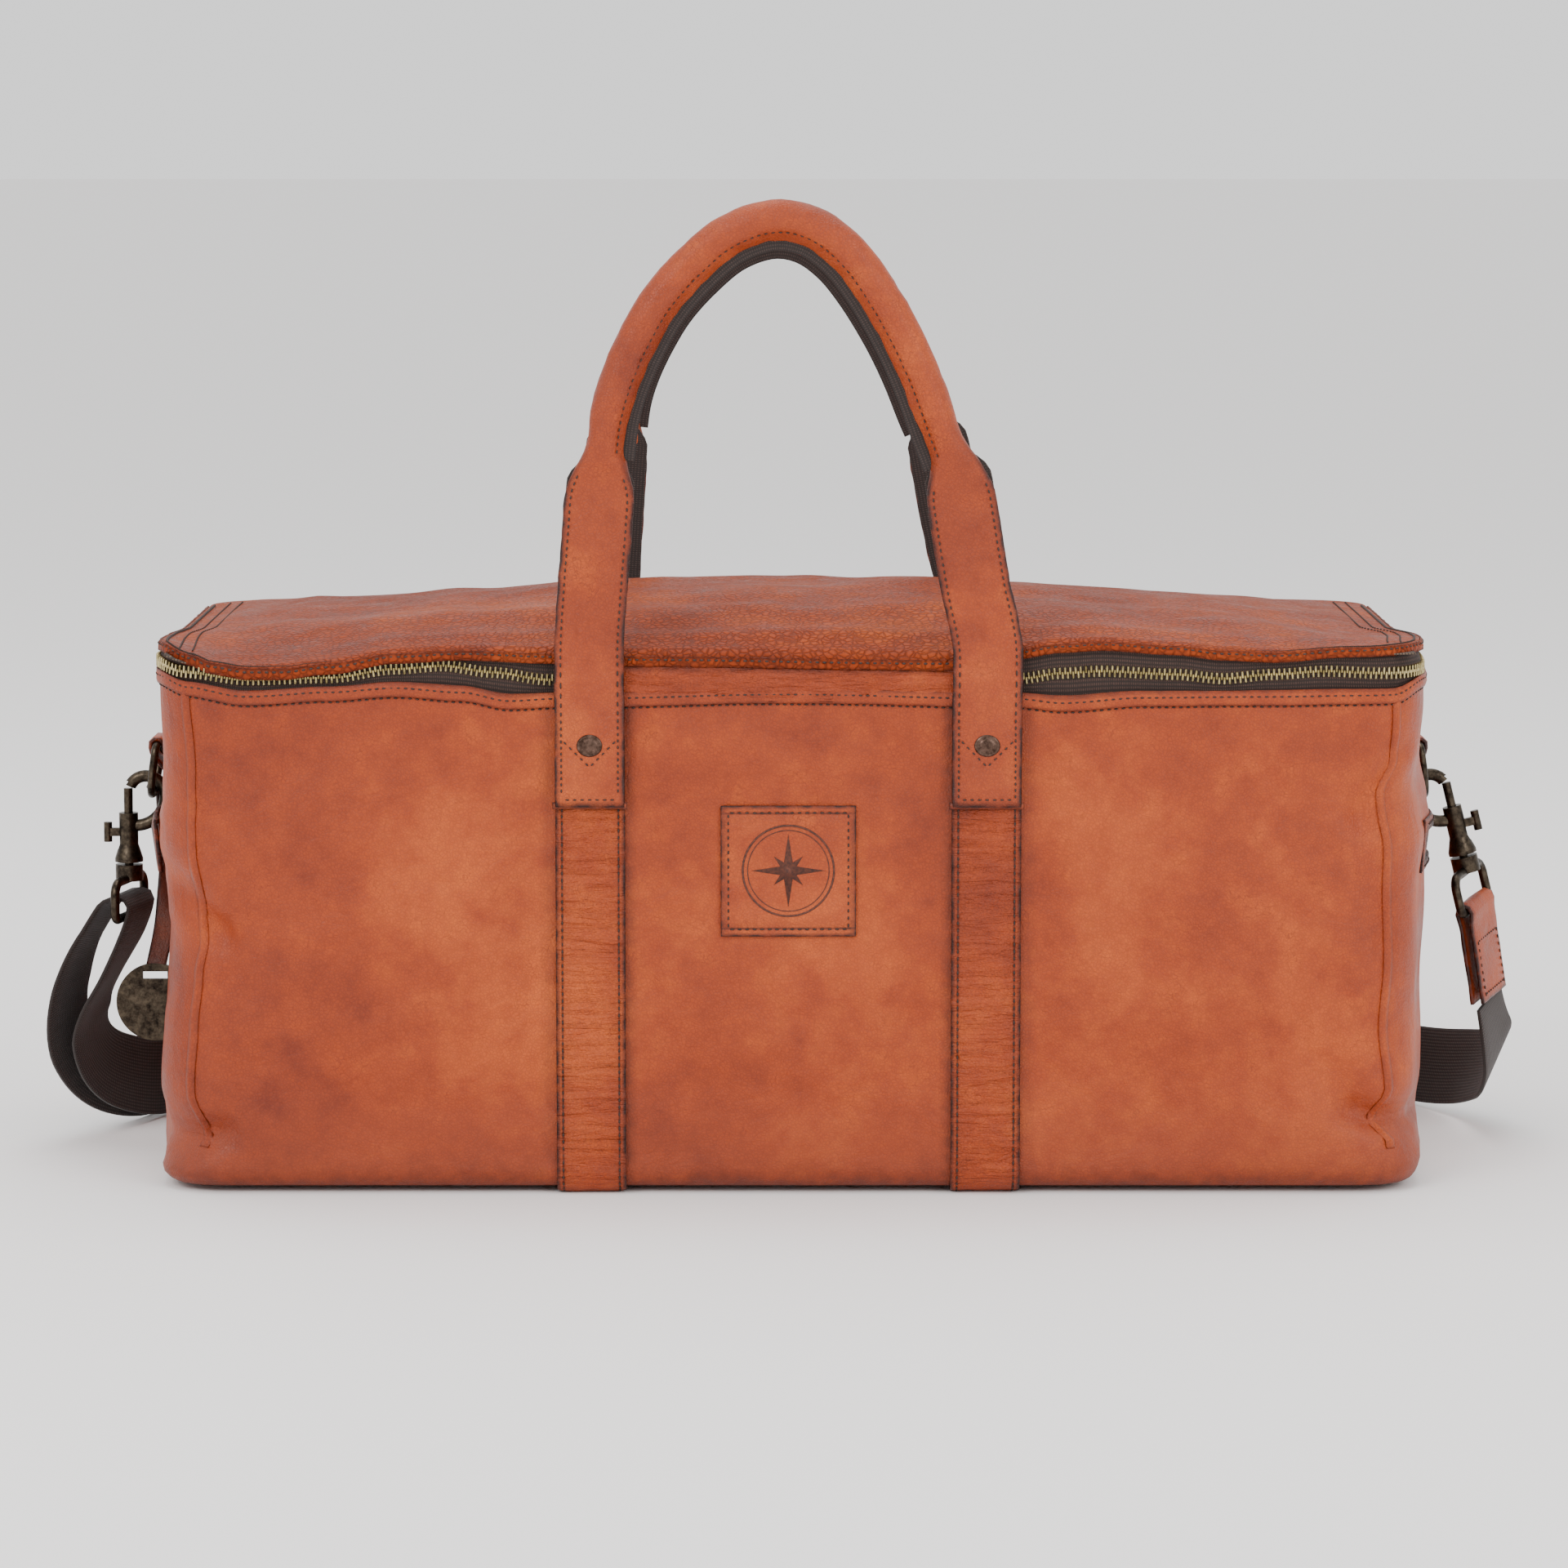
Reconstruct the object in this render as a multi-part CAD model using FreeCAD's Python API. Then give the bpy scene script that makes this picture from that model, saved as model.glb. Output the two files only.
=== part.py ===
"""Soft leather weekender bag, one STEP file per piece.

Millimetres. X runs along the bag, -Y is the front, +Z is up. The origin is the
middle of the footprint, on the surface that the bag stands on.
"""

import FreeCAD, Part
import math
import os

V = FreeCAD.Vector
os.makedirs("parts", exist_ok=True)

# Body: a soft box with a zip-round lid
LENGTH = 576.0
DEPTH = 270.0
BODY_TOP = 240.0
CORNER_R = 30.0
BOTTOM_R = 16.0
LEATHER = 2.4
LINING = 1.0
END_SEAM_X = 274.0
BOTTOM_SEAM_Z = 20.0
SAG_L = 130.0
SAG_W = 200.0
BOARD_T = 3.0
BOARD_GAP = 1.0

# Lid: a rim that stands on the zip, and a crown above it
LID_RIM = 248.0
LID_HEIGHT = 22.0
LID_WALL = 4.4
HINGE_Y = 128.0
HINGE_Z = 252.0
BODY_GAP = 0.4

# Zips
TEETH_T = 2.6
TEETH_H = 1.7
TEETH_PART = 1.4
TEETH_INSET = 1.0
TAPE_T = 1.0
ZIP_END_Y = 98.0
SLIDER_L = 11.0
SLIDER_FIT = 0.3
SLIDER_RIM = 1.7
PLATE_T = 1.4
NECK_T = 0.8
NECK_L = 3.0
BAIL_OUT = 2.6
BAIL_L = 2.4
AXLE_OUT = 1.5
AXLE_UP = 0.6
PIN_R = 0.8
PULL_L = 20.0
PULL_W = 6.0
PULL_T = 1.8
CHEEK_L = 4.5
CHEEK_Y = 1.5
MAIN_SLIDER_Y = 90.0

# Straps sewn to the body, and the handles
STRAP_W = 32.0
STRAP_X = 91.0
TRIM_T = 2.5
HANDLE_T = 4.0
WEBBING_T = 1.4
HANDLE_FOOT_Z = 182.0
HANDLE_BEND_Z = 256.0
HANDLE_TOP_Z = 459.0
GRIP_D = 18.5
CORE_D = 13.4
SHOULDER_X = 81.0
SHOULDER_Z = 342.0
LEAN_IN_DEG = 30.0
RIVET_Z = 215.0
RIVET_D = 12.0
RIVET_H = 2.2
POST_D = 4.0
WASHER_T = 1.0

# Small leather on the front
PATCH_W = 62.0
PATCH_H = 61.0
PATCH_Z = 151.5
PATCH_T = 1.6
GUARD_Z = (233.0, 247.0)
GUARD_T = 2.0

# End pockets
POCKET_Z = 157.0
POCKET_L = 176.0
WINDOW_H = 14.0
FRAME_W = 5.0
FRAME_T = 1.6
POCKET_DROP = 110.0
POCKET_DEPTH = 7.0
POCKET_SIDE = 4.0

# D-rings in their leather loops
RING_WIRE = 3.8
RING_W = 30.0
RING_H = 25.0
RING_LEAN_DEG = 8.0
LOOP_W = 22.0
LOOP_OUT = 15.5
LOOP_Z = 195.0
LOOP_FOOT_Z = (140.0, 172.0)
RUN_FIT = 0.08

# Bolt snap hooks
BARREL_H = 23.7
BARREL_R = 4.6
FLARE_R = 6.8
BOLT_R = 2.15
BOLT_TRAVEL = 6.5
BOLT_TOP = 36.0
CLAW_R = 2.9
CLAW_OUT = 18.0
EYE_HALF_W = 22.0
EYE_WIRE_R = 2.2
EYE_BAR_Z = -26.0
HOOK_X = 15.2
HOOK_Z = 137.5
RIGHT_TILT_DEG = 14.0
EYE_TURN_LEFT = 12.0
EYE_TURN_RIGHT = 24.0

# Hang tag
TAG_W = 10.0
TAG_DISC_D = 38.0
TAG_DISC_T = 2.4
TAG_DISC_Z = 67.0
TAG_Y = 9.0

# Shoulder strap
SLING_W = 38.0
SLING_T = 2.2
TAB_L = 46.0
TAB_T = 6.0
ADJUSTER = (26.0, 3.0, 44.0)

HALF_L = LENGTH / 2
HALF_D = DEPTH / 2
TRIM_Y = HALF_D + TRIM_T
STRAP_Y = TRIM_Y + HANDLE_T
HANDLE_Y = TRIM_Y + HANDLE_T / 2
FAR = 2 * LENGTH
made = []


def save(name, shape):
    """Write one node, as its separate solids."""
    solids = shape.Solids
    bad = [s for s in solids if not s.isValid()]
    volume = sum(s.Volume for s in solids)
    print(f"{name:26s} solids {len(solids)} volume {volume:10.1f}{' INVALID' if bad else ''}")
    kept = solids[0] if len(solids) == 1 else Part.Compound(solids)
    kept.exportStep(f"parts/{name}.step")
    made.append(name)


def box(x, y, z):
    """A box between the given pairs of coordinates, in any order."""
    low = V(min(x), min(y), min(z))
    return Part.makeBox(abs(x[1] - x[0]), abs(y[1] - y[0]), abs(z[1] - z[0]), low)


def outline(offset, z, radius=None):
    """The body's plan, a rectangle with round corners, offset outwards, at height z."""
    a, b, r = HALF_L + offset, HALF_D + offset, radius or CORNER_R + offset
    k = r * (1 - math.sqrt(0.5))
    edges = []
    for sx, sy in ((1, -1), (1, 1), (-1, 1), (-1, -1)):
        along = V(sx * (a - r), sy * b, z), V(sx * (a - k), sy * (b - k), z), V(sx * a, sy * (b - r), z)
        edges.append(along if sx * sy < 0 else along[::-1])
    loop = []
    for i, (first, middle, last) in enumerate(edges):
        loop.append(Part.Arc(first, middle, last).toShape())
        loop.append(Part.LineSegment(last, edges[(i + 1) % 4][0]).toShape())
    return Part.Wire(loop)


def prism(offset, z):
    """The plan, extruded between two heights."""
    return Part.Face(outline(offset, z[0])).extrude(V(0, 0, z[1] - z[0]))


def band(outer, inner, z):
    """A wall that follows the plan between two offsets."""
    return prism(outer, z).cut(prism(inner, z))


def bowl(offset, top):
    """The body's outer form at an offset, closed, with a round bottom edge."""
    levels = []
    for angle in (0, 30, 60, 90):
        a = math.radians(angle)
        reach = BOTTOM_R + offset
        levels.append((-BOTTOM_R + reach * math.sin(a), TRIM_T + BOTTOM_R - reach * math.cos(a)))
    levels.append((offset, top))
    return Part.makeLoft([outline(o, z) for o, z in levels], True, True)


def crown(drop, base):
    """The lid's outer form, lowered by drop, standing on height base."""
    rise = LID_HEIGHT - LID_WALL
    wires = [outline(-drop, base)]
    for inset, share in ((0, 0), (6, 0.4), (28, 0.75), (75, 1.0)):
        height = LID_RIM + LID_WALL + share * rise - drop
        corner = min(CORNER_R - drop + inset / 4, DEPTH / 2 - inset - drop - 1)
        wires.append(outline(-inset - drop, height, corner))
    return Part.makeLoft(wires, True, True)


def plate_xz(points, y):
    """A plate cut from points in the XZ plane, between two depths."""
    ring = [V(x, y[0], z) for x, z in points]
    return Part.Face(Part.makePolygon(ring + ring[:1])).extrude(V(0, y[1] - y[0], 0))


def plate_yz(points, x):
    """A plate cut from points in the YZ plane, between two lengths."""
    ring = [V(x[0], y, z) for y, z in points]
    return Part.Face(Part.makePolygon(ring + ring[:1])).extrude(V(x[1] - x[0], 0, 0))


def rod(start, end, radius):
    """A round bar between two points."""
    return Part.makeCylinder(radius, (end - start).Length, start, end - start)


def pipe(edges, radius):
    """A round bar along joined tangent edges."""
    path = Part.Wire([e.toShape() for e in edges])
    first = path.OrderedEdges[0]
    start = path.OrderedVertexes[0].Point
    tangent = first.tangentAt(first.FirstParameter)
    profile = Part.Wire([Part.makeCircle(radius, start, tangent)])
    return path.makePipeShell([profile], True, True)


def lathe(points, centre, axis_x=0.0):
    """A solid of revolution about a vertical axis, from (radius, height) points."""
    ring = [centre + V(axis_x + r, 0, z) for r, z in points]
    return Part.Face(Part.makePolygon(ring + ring[:1])).revolve(centre, V(0, 0, 1), 360)


def mirrored(shape, side):
    """The left-hand piece is drawn as it is, and the right-hand one mirrored."""
    return shape.copy() if side < 0 else shape.mirror(V(0, 0, 0), V(1, 0, 0))


# Body shell, lining and board
leather_wall = bowl(0, BODY_TOP).cut(bowl(-LEATHER, BODY_TOP + 1))
lining_outer = -LEATHER - TAPE_T
body_lining = bowl(lining_outer, BODY_TOP - 2).cut(bowl(lining_outer - LINING, BODY_TOP + 1))
upper = (BOTTOM_SEAM_Z, BODY_TOP)
middle_x = (-END_SEAM_X, END_SEAM_X)
front_panel = leather_wall.common(box(middle_x, (-FAR, 0), upper))
back_panel = leather_wall.common(box(middle_x, (0, FAR), upper))
bottom_panel = leather_wall.common(box((-FAR, FAR), (-FAR, FAR), (0, BOTTOM_SEAM_Z)))
# Between the straps the bottom sags until it lies on the surface too
sag_x, sag_y = (-SAG_L / 2, SAG_L / 2), (-SAG_W / 2, SAG_W / 2)
hollow_x = (-SAG_L / 2 + LEATHER, SAG_L / 2 - LEATHER)
hollow_y = (-SAG_W / 2 + LEATHER, SAG_W / 2 - LEATHER)
bottom_panel = bottom_panel.fuse(box(sag_x, sag_y, (0, TRIM_T)))
bottom_panel = bottom_panel.cut(box(hollow_x, hollow_y, (LEATHER, TRIM_T + LEATHER + 1))).removeSplitter()
end_panels = {s: leather_wall.common(box((s * END_SEAM_X, s * FAR), (-FAR, FAR), upper)) for s in (-1, 1)}
board_z = TRIM_T + LEATHER + TAPE_T + LINING
base_board = prism(-BOTTOM_R - BOARD_GAP, (board_z, board_z + BOARD_T))

# Trim straps: down the front, under the bag and up the back
trim_wall = bowl(TRIM_T, BODY_TOP).cut(bowl(0, BODY_TOP + 1))
trim_straps = {}
for s in (-1, 1):
    strip_x = (s * STRAP_X - STRAP_W / 2, s * STRAP_X + STRAP_W / 2)
    trim_straps[s] = trim_wall.common(box(strip_x, (-FAR, FAR), (0, BODY_TOP)))

# Handle feet: sewn ends of the handles, up to the line where the handle bends
feet = {}
for face in (-1, 1):
    blocks = []
    for s in (-1, 1):
        strip_x = (s * STRAP_X - STRAP_W / 2, s * STRAP_X + STRAP_W / 2)
        foot_z = (HANDLE_FOOT_Z, HANDLE_BEND_Z - BODY_GAP)
        blocks.append(box(strip_x, (face * TRIM_Y, face * STRAP_Y), foot_z))
    feet[face] = blocks

# Rivets: a domed cap outside, a post through all layers and a washer inside
inner_face = HALF_D - LEATHER - TAPE_T - LINING
rivets = []
posts = []
for face in (-1, 1):
    for s in (-1, 1):
        outside = V(s * STRAP_X, face * STRAP_Y, RIVET_Z)
        out = V(0, face, 0)
        inside = V(s * STRAP_X, face * inner_face, RIVET_Z)
        cap = Part.makeCylinder(RIVET_D / 2, RIVET_H / 2, outside, out)
        dome = Part.makeCone(RIVET_D / 2, RIVET_D / 3, RIVET_H / 2, outside + out * (RIVET_H / 2), out)
        post = rod(outside, inside, POST_D / 2)
        washer = Part.makeCylinder(RIVET_D / 2 - 1, WASHER_T, inside, out * -1)
        rivets.append(cap.fuse([dome, post, washer]).removeSplitter())
        posts.append(post)
holes = Part.Compound(posts)
front_panel = front_panel.cut(holes)
back_panel = back_panel.cut(holes)
body_lining = body_lining.cut(holes)

# Patch and zip guard on the front
maker_patch = box((-PATCH_W / 2, PATCH_W / 2), (-HALF_D, -HALF_D - PATCH_T),
                  (PATCH_Z - PATCH_H / 2, PATCH_Z + PATCH_H / 2))
guard_half = STRAP_X - STRAP_W / 2 - BODY_GAP
guard_back = -HALF_D - BODY_GAP
guard_face = guard_back - GUARD_T
zip_guard = plate_yz([(-HALF_D, GUARD_Z[0]), (guard_face, GUARD_Z[0]), (guard_face, GUARD_Z[1]),
                      (guard_back, GUARD_Z[1]), (guard_back, BODY_TOP - 1), (-HALF_D, BODY_TOP - 1)],
                     (-guard_half, guard_half))

# Main zip: one tape and one row of teeth on the body, and one on the lid
zip_mid = (BODY_TOP + LID_RIM) / 2
row_low = zip_mid - TEETH_PART / 2 - TEETH_H
row_high = zip_mid + TEETH_PART / 2
zip_side = box((-FAR, FAR), (-FAR, ZIP_END_Y), (0, FAR))
teeth_out, teeth_in = -TEETH_INSET, -TEETH_INSET - TEETH_T
tape_out, tape_in = -LEATHER, -LEATHER - TAPE_T
body_zip_teeth = band(teeth_out, teeth_in, (row_low, row_low + TEETH_H)).common(zip_side)
lid_zip_teeth = band(teeth_out, teeth_in, (row_high, row_high + TEETH_H)).common(zip_side)
body_zip_tape = band(tape_out, tape_in, (BODY_TOP - 8, row_low)).common(zip_side)
lid_zip_tape = band(tape_out, tape_in, (row_high + TEETH_H, LID_RIM + LID_WALL - LEATHER)).common(zip_side)

# Lid and the strip that it folds from
lid_front = box((-FAR, FAR), (-FAR, HINGE_Y - BODY_GAP), (0, FAR))
lid_shell = crown(0, LID_RIM).cut(crown(LEATHER, LID_RIM - LEATHER - 1))
lid_panel = lid_shell.common(lid_front)
inner_form = LEATHER + TAPE_T
lid_lining = crown(inner_form, BODY_TOP).cut(crown(inner_form + LINING, BODY_TOP - 1))
lid_lining = lid_lining.common(box((-FAR, FAR), (-FAR, HINGE_Y - 4), (LID_RIM + 3, FAR)))
strip_low = band(0, -LEATHER, (BODY_TOP, LID_RIM - BODY_GAP)).common(
    box((-FAR, FAR), (ZIP_END_Y, FAR), (0, FAR)))
strip_top = lid_shell.common(box((-FAR, FAR), (HINGE_Y, FAR), (0, HINGE_Z)))
strip_join = band(0, -LEATHER, (LID_RIM - BODY_GAP, LID_RIM)).common(
    box((-FAR, FAR), (HINGE_Y, FAR), (0, FAR)))
rear_hinge_strip = strip_low.fuse([strip_join, strip_top]).removeSplitter()


def slider(edge_x, y, z, part, row_t, inset):
    """A zip slider on rows that run along Y on the +X side: two plates and a neck."""
    tall = part + 2 * (TEETH_H + SLIDER_RIM)
    out_x = (edge_x + SLIDER_FIT, edge_x + SLIDER_FIT + PLATE_T)
    in_face = edge_x - inset - row_t - SLIDER_FIT
    in_x = (in_face, in_face - PLATE_T)
    along = (y - SLIDER_L / 2, y + SLIDER_L / 2)
    up = (z - tall / 2, z + tall / 2)
    neck = box((in_x[0], out_x[0]), (y - NECK_L / 2, y + NECK_L / 2), (z - NECK_T / 2, z + NECK_T / 2))
    bail_x = out_x[1]
    bail = box((bail_x, bail_x + BAIL_OUT), (y - BAIL_L / 2, y + BAIL_L / 2), (z - BAIL_OUT, z + BAIL_OUT))
    axle_x, axle_z = bail_x + AXLE_OUT, z + AXLE_UP
    eye = rod(V(axle_x, y - BAIL_L, axle_z), V(axle_x, y + BAIL_L, axle_z), PIN_R + RUN_FIT)
    return box(out_x, along, up).fuse([box(in_x, along, up), neck, bail]).cut(eye), axle_x, axle_z


def pull(axle_x, y, axle_z, length):
    """A pull tab with a cross pin through the slider's bail."""
    across = (y - PULL_W / 2, y + PULL_W / 2)
    thick = (axle_x - PULL_T / 2, axle_x + PULL_T / 2)
    pin = rod(V(axle_x, across[0], axle_z), V(axle_x, across[1], axle_z), PIN_R)
    cheeks = [box(thick, (y + s * CHEEK_Y, y + s * PULL_W / 2), (axle_z - CHEEK_L, axle_z + PIN_R * 1.5))
              for s in (-1, 1)]
    tab = box(thick, across, (axle_z - length, axle_z - CHEEK_L))
    return pin.fuse(cheeks + [tab]).removeSplitter()


main_slider, main_axle_x, main_axle_z = slider(
    HALF_L, MAIN_SLIDER_Y, zip_mid, TEETH_PART, TEETH_T, TEETH_INSET)
main_pull = pull(main_axle_x, MAIN_SLIDER_Y, main_axle_z, PULL_L)

# End pockets, drawn on the right-hand end
half_pocket = POCKET_L / 2
window_z = (POCKET_Z - WINDOW_H / 2, POCKET_Z + WINDOW_H / 2)
window = box((HALF_L - 20, HALF_L + 20), (-half_pocket, half_pocket), window_z)
frame_y = half_pocket + FRAME_W
pocket_frame = box((HALF_L, HALF_L + FRAME_T), (-frame_y, frame_y),
                   (window_z[0] - FRAME_W, window_z[1] + FRAME_W)).cut(window)
pocket_x = HALF_L - LEATHER
row_x = (pocket_x - TAPE_T - 0.4, HALF_L - 0.6)
pocket_rows = []
pocket_tapes = []
for s in (-1, 1):
    near = POCKET_Z + s * TEETH_PART / 2
    far = near + s * TEETH_H
    pocket_rows.append(box(row_x, (-half_pocket, half_pocket), (near, far)))
    edge = POCKET_Z + s * (WINDOW_H / 2 + 3)
    pocket_tapes.append(box((pocket_x - TAPE_T, pocket_x), (-half_pocket - 2, half_pocket + 2), (far, edge)))
bag_x = (pocket_x - TAPE_T, pocket_x - TAPE_T - POCKET_DEPTH)
bag_z = (POCKET_Z - POCKET_DROP, window_z[1] + 6)
bag_y = (-half_pocket - POCKET_SIDE, half_pocket + POCKET_SIDE)
inner_y = (bag_y[0] + LINING, bag_y[1] - LINING)
inner_z = (bag_z[0] + LINING, bag_z[1] - LINING)
near_x, deep_x = (bag_x[0] - LINING, bag_x[0]), (bag_x[1], bag_x[1] + LINING)
gap_x = (deep_x[1], near_x[0])
pocket_bag = Part.Compound(
    [box(deep_x, bag_y, bag_z),
     box(near_x, bag_y, (bag_z[0], window_z[0])),
     box(near_x, bag_y, (window_z[1], bag_z[1]))]
    + [box(near_x, (s * half_pocket, s * (half_pocket + POCKET_SIDE)), window_z) for s in (-1, 1)]
    + [box(gap_x, inner_y, (bag_z[i], inner_z[i])) for i in (0, 1)]
    + [box(gap_x, (bag_y[i], inner_y[i]), bag_z) for i in (0, 1)])
lining_room = box((bag_x[0] + 1, bag_x[1] - 0.2), (bag_y[0] - 0.2, bag_y[1] + 0.2),
                  (bag_z[0] - 0.2, bag_z[1] + 0.2))
pocket_slider, pocket_axle_x, pocket_axle_z = slider(
    HALF_L, half_pocket - SLIDER_L / 2 - 2, POCKET_Z, TEETH_PART, row_x[1] - row_x[0], 0.6)
pocket_pull = pull(pocket_axle_x, half_pocket - SLIDER_L / 2 - 2, pocket_axle_z, PULL_L)

# D-ring and its leather loop, drawn on the left-hand end
bar_x = -HALF_L - LOOP_OUT
bar = V(bar_x, 0, LOOP_Z)
wire_r = RING_WIRE / 2
roll_r = wire_r + RUN_FIT + LEATHER
roll = rod(bar + V(0, -LOOP_W / 2, 0), bar + V(0, LOOP_W / 2, 0), roll_r)
loop_plate = plate_xz([(bar_x - roll_r * 0.6, LOOP_Z - roll_r * 0.8),
                       (-HALF_L - LEATHER * 2, LOOP_FOOT_Z[1]),
                       (-HALF_L - LEATHER * 2, LOOP_FOOT_Z[0]), (-HALF_L, LOOP_FOOT_Z[0]),
                       (-HALF_L, LOOP_FOOT_Z[1] + 2), (bar_x + roll_r, LOOP_Z)],
                      (-LOOP_W / 2, LOOP_W / 2))
ring_room = rod(bar + V(0, -LOOP_W, 0), bar + V(0, LOOP_W, 0), wire_r + RUN_FIT)
slider_room = box((-HALF_L - 9, 0), (-LOOP_W, LOOP_W), (0, window_z[1] + FRAME_W + 0.2))
ring_loop = roll.fuse(loop_plate).cut(ring_room).cut(slider_room)


def d_ring():
    """The ring hangs from its straight bar at the origin, in the YZ plane."""
    half, r = RING_W / 2, 4.0
    arc_z = -(RING_H - half)
    q = r * (1 - math.sqrt(0.5))
    edges = [Part.LineSegment(V(0, 0, 0), V(0, half - r, 0)),
             Part.Arc(V(0, half - r, 0), V(0, half - q, -q), V(0, half, -r)),
             Part.LineSegment(V(0, half, -r), V(0, half, arc_z)),
             Part.Arc(V(0, half, arc_z), V(0, 0, -RING_H), V(0, -half, arc_z)),
             Part.LineSegment(V(0, -half, arc_z), V(0, -half, -r)),
             Part.Arc(V(0, -half, -r), V(0, -half + q, -q), V(0, -half + r, 0)),
             Part.LineSegment(V(0, -half + r, 0), V(0, 0, 0))]
    return pipe(edges, wire_r)


ring = d_ring()
ring.rotate(V(0, 0, 0), V(0, 1, 0), RING_LEAN_DEG)
ring.translate(bar)
lean = math.radians(RING_LEAN_DEG)
rim = bar + V(-RING_H * math.sin(lean), 0, -RING_H * math.cos(lean))


def hook_body():
    """Barrel and claw about a vertical axis, with the claw towards +X."""
    barrel = lathe([(0, 0), (FLARE_R, 0), (FLARE_R, 1.6), (BARREL_R, 8.5),
                    (BARREL_R, BARREL_H), (0, BARREL_H)], V(0, 0, 0))
    top_r, tip_r = 9.5, 8.2
    low_r = 14.5
    side = V(CLAW_OUT, 0, 32)
    low = V(CLAW_OUT - low_r, 0, 32 - low_r)
    top = V(CLAW_OUT - top_r, 0, 32 + top_r)
    s = math.sqrt(0.5)
    tip_centre = top - V(0, 0, tip_r)
    tip_a = math.radians(24)
    tip = tip_centre + V(-tip_r * math.cos(tip_a), 0, tip_r * math.sin(tip_a))
    half_a = math.radians((90 + 24) / 2)
    tip_mid = tip_centre + V(-tip_r * math.cos(half_a), 0, tip_r * math.sin(half_a))
    claw = pipe([Part.Arc(low, V(CLAW_OUT - low_r * (1 - s), 0, 32 - low_r * s), side),
                 Part.Arc(side, V(CLAW_OUT - top_r * (1 - s), 0, 32 + top_r * s), top),
                 Part.Arc(top, tip_mid, tip)], CLAW_R)
    bore = Part.makeCylinder(BOLT_R + RUN_FIT, BOLT_TOP, V(0, 0, 3.2))
    slot = box((-FLARE_R, 0), (-1.8, 1.8), (16.6 - 4.3 - BOLT_TRAVEL, 16.6))
    pin_hole = Part.makeCylinder(2.2, 4, V(0, 0, -1))
    return barrel.fuse(claw).cut(bore.fuse(slot)).cut(pin_hole).removeSplitter()


def hook_bolt():
    """Sliding bolt with its thumb knob on the -X side."""
    shaft = Part.makeCylinder(BOLT_R, BOLT_TOP - 0.4 - 12.3, V(0, 0, 12.3))
    neck = box((-10, 0), (-1.6, 1.6), (12.4, 16.3))
    knob = rod(V(-10, 0, 9.6), V(-10, 0, 19.1), 2.0)
    return shaft.fuse([neck, knob]).removeSplitter()


def hook_spring():
    """Outer form of the coil spring under the bolt."""
    tall = 12.1 - 3.4
    return Part.makeCylinder(1.9, tall, V(0, 0, 3.4)).cut(Part.makeCylinder(1.4, tall, V(0, 0, 3.4)))


def hook_eye():
    """Swivel collar, pin and the flat eye for the webbing."""
    w, low, high = EYE_HALF_W, EYE_BAR_Z, -8.2
    r1, r2 = 4.0, 6.5
    q1, q2 = r1 * (1 - math.sqrt(0.5)), r2 * (1 - math.sqrt(0.5))
    right = [Part.LineSegment(V(0, 0, low), V(0, w - r1, low)),
             Part.Arc(V(0, w - r1, low), V(0, w - q1, low + q1), V(0, w, low + r1)),
             Part.LineSegment(V(0, w, low + r1), V(0, w, high - r2)),
             Part.Arc(V(0, w, high - r2), V(0, w - q2, high - q2), V(0, w - r2, high)),
             Part.LineSegment(V(0, w - r2, high), V(0, r2 - w, high))]
    left = [Part.Arc(V(0, r2 - w, high), V(0, q2 - w, high - q2), V(0, -w, high - r2)),
            Part.LineSegment(V(0, -w, high - r2), V(0, -w, low + r1)),
            Part.Arc(V(0, -w, low + r1), V(0, q1 - w, low + q1), V(0, r1 - w, low)),
            Part.LineSegment(V(0, r1 - w, low), V(0, 0, low))]
    collar = Part.makeCylinder(6.6, 7.8, V(0, 0, -9.2))
    pin = Part.makeCylinder(2.1, 3.4, V(0, 0, -1.4))
    return pipe(right + left, EYE_WIRE_R).fuse([collar, pin]).removeSplitter()


def hook_set(side, turn):
    """The hook's pieces in place, for one end of the bag."""
    placed = []
    for name, shape in (("body", hook_body()), ("eye", hook_eye()), ("bolt", hook_bolt()),
                        ("spring", hook_spring())):
        if name == "eye":
            shape.rotate(V(0, 0, 0), V(0, 0, 1), side * turn)
        shape.translate(V(-HALF_L - LOOP_OUT - HOOK_X, 0, HOOK_Z))
        shape = mirrored(shape, side)
        if side > 0:
            shape.rotate(V(-rim.x, 0, rim.z), V(0, 1, 0), -RIGHT_TILT_DEG)
        placed.append((name, shape))
    return placed


def route(points):
    """Tangent edges through hand-chosen points, with arcs as large as the runs allow."""
    edges, start, radii = [], points[0], []
    for before, at, after in zip(points, points[1:], points[2:]):
        back, ahead = before - at, after - at
        cut_back = 0.45 * min(back.Length, ahead.Length)
        back.normalize()
        ahead.normalize()
        half = (math.pi - back.getAngle(ahead)) / 2
        radius = cut_back / math.tan(half)
        middle = (back + ahead).normalize() * (radius / math.cos(half) - radius)
        first, last = at + back * cut_back, at + ahead * cut_back
        edges += [Part.LineSegment(start, first), Part.Arc(first, at + middle, last)]
        start = last
        radii.append(round(radius))
    edges.append(Part.LineSegment(start, points[-1]))
    print("  arc radii", radii)
    return Part.Wire([e.toShape() for e in edges])


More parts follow.
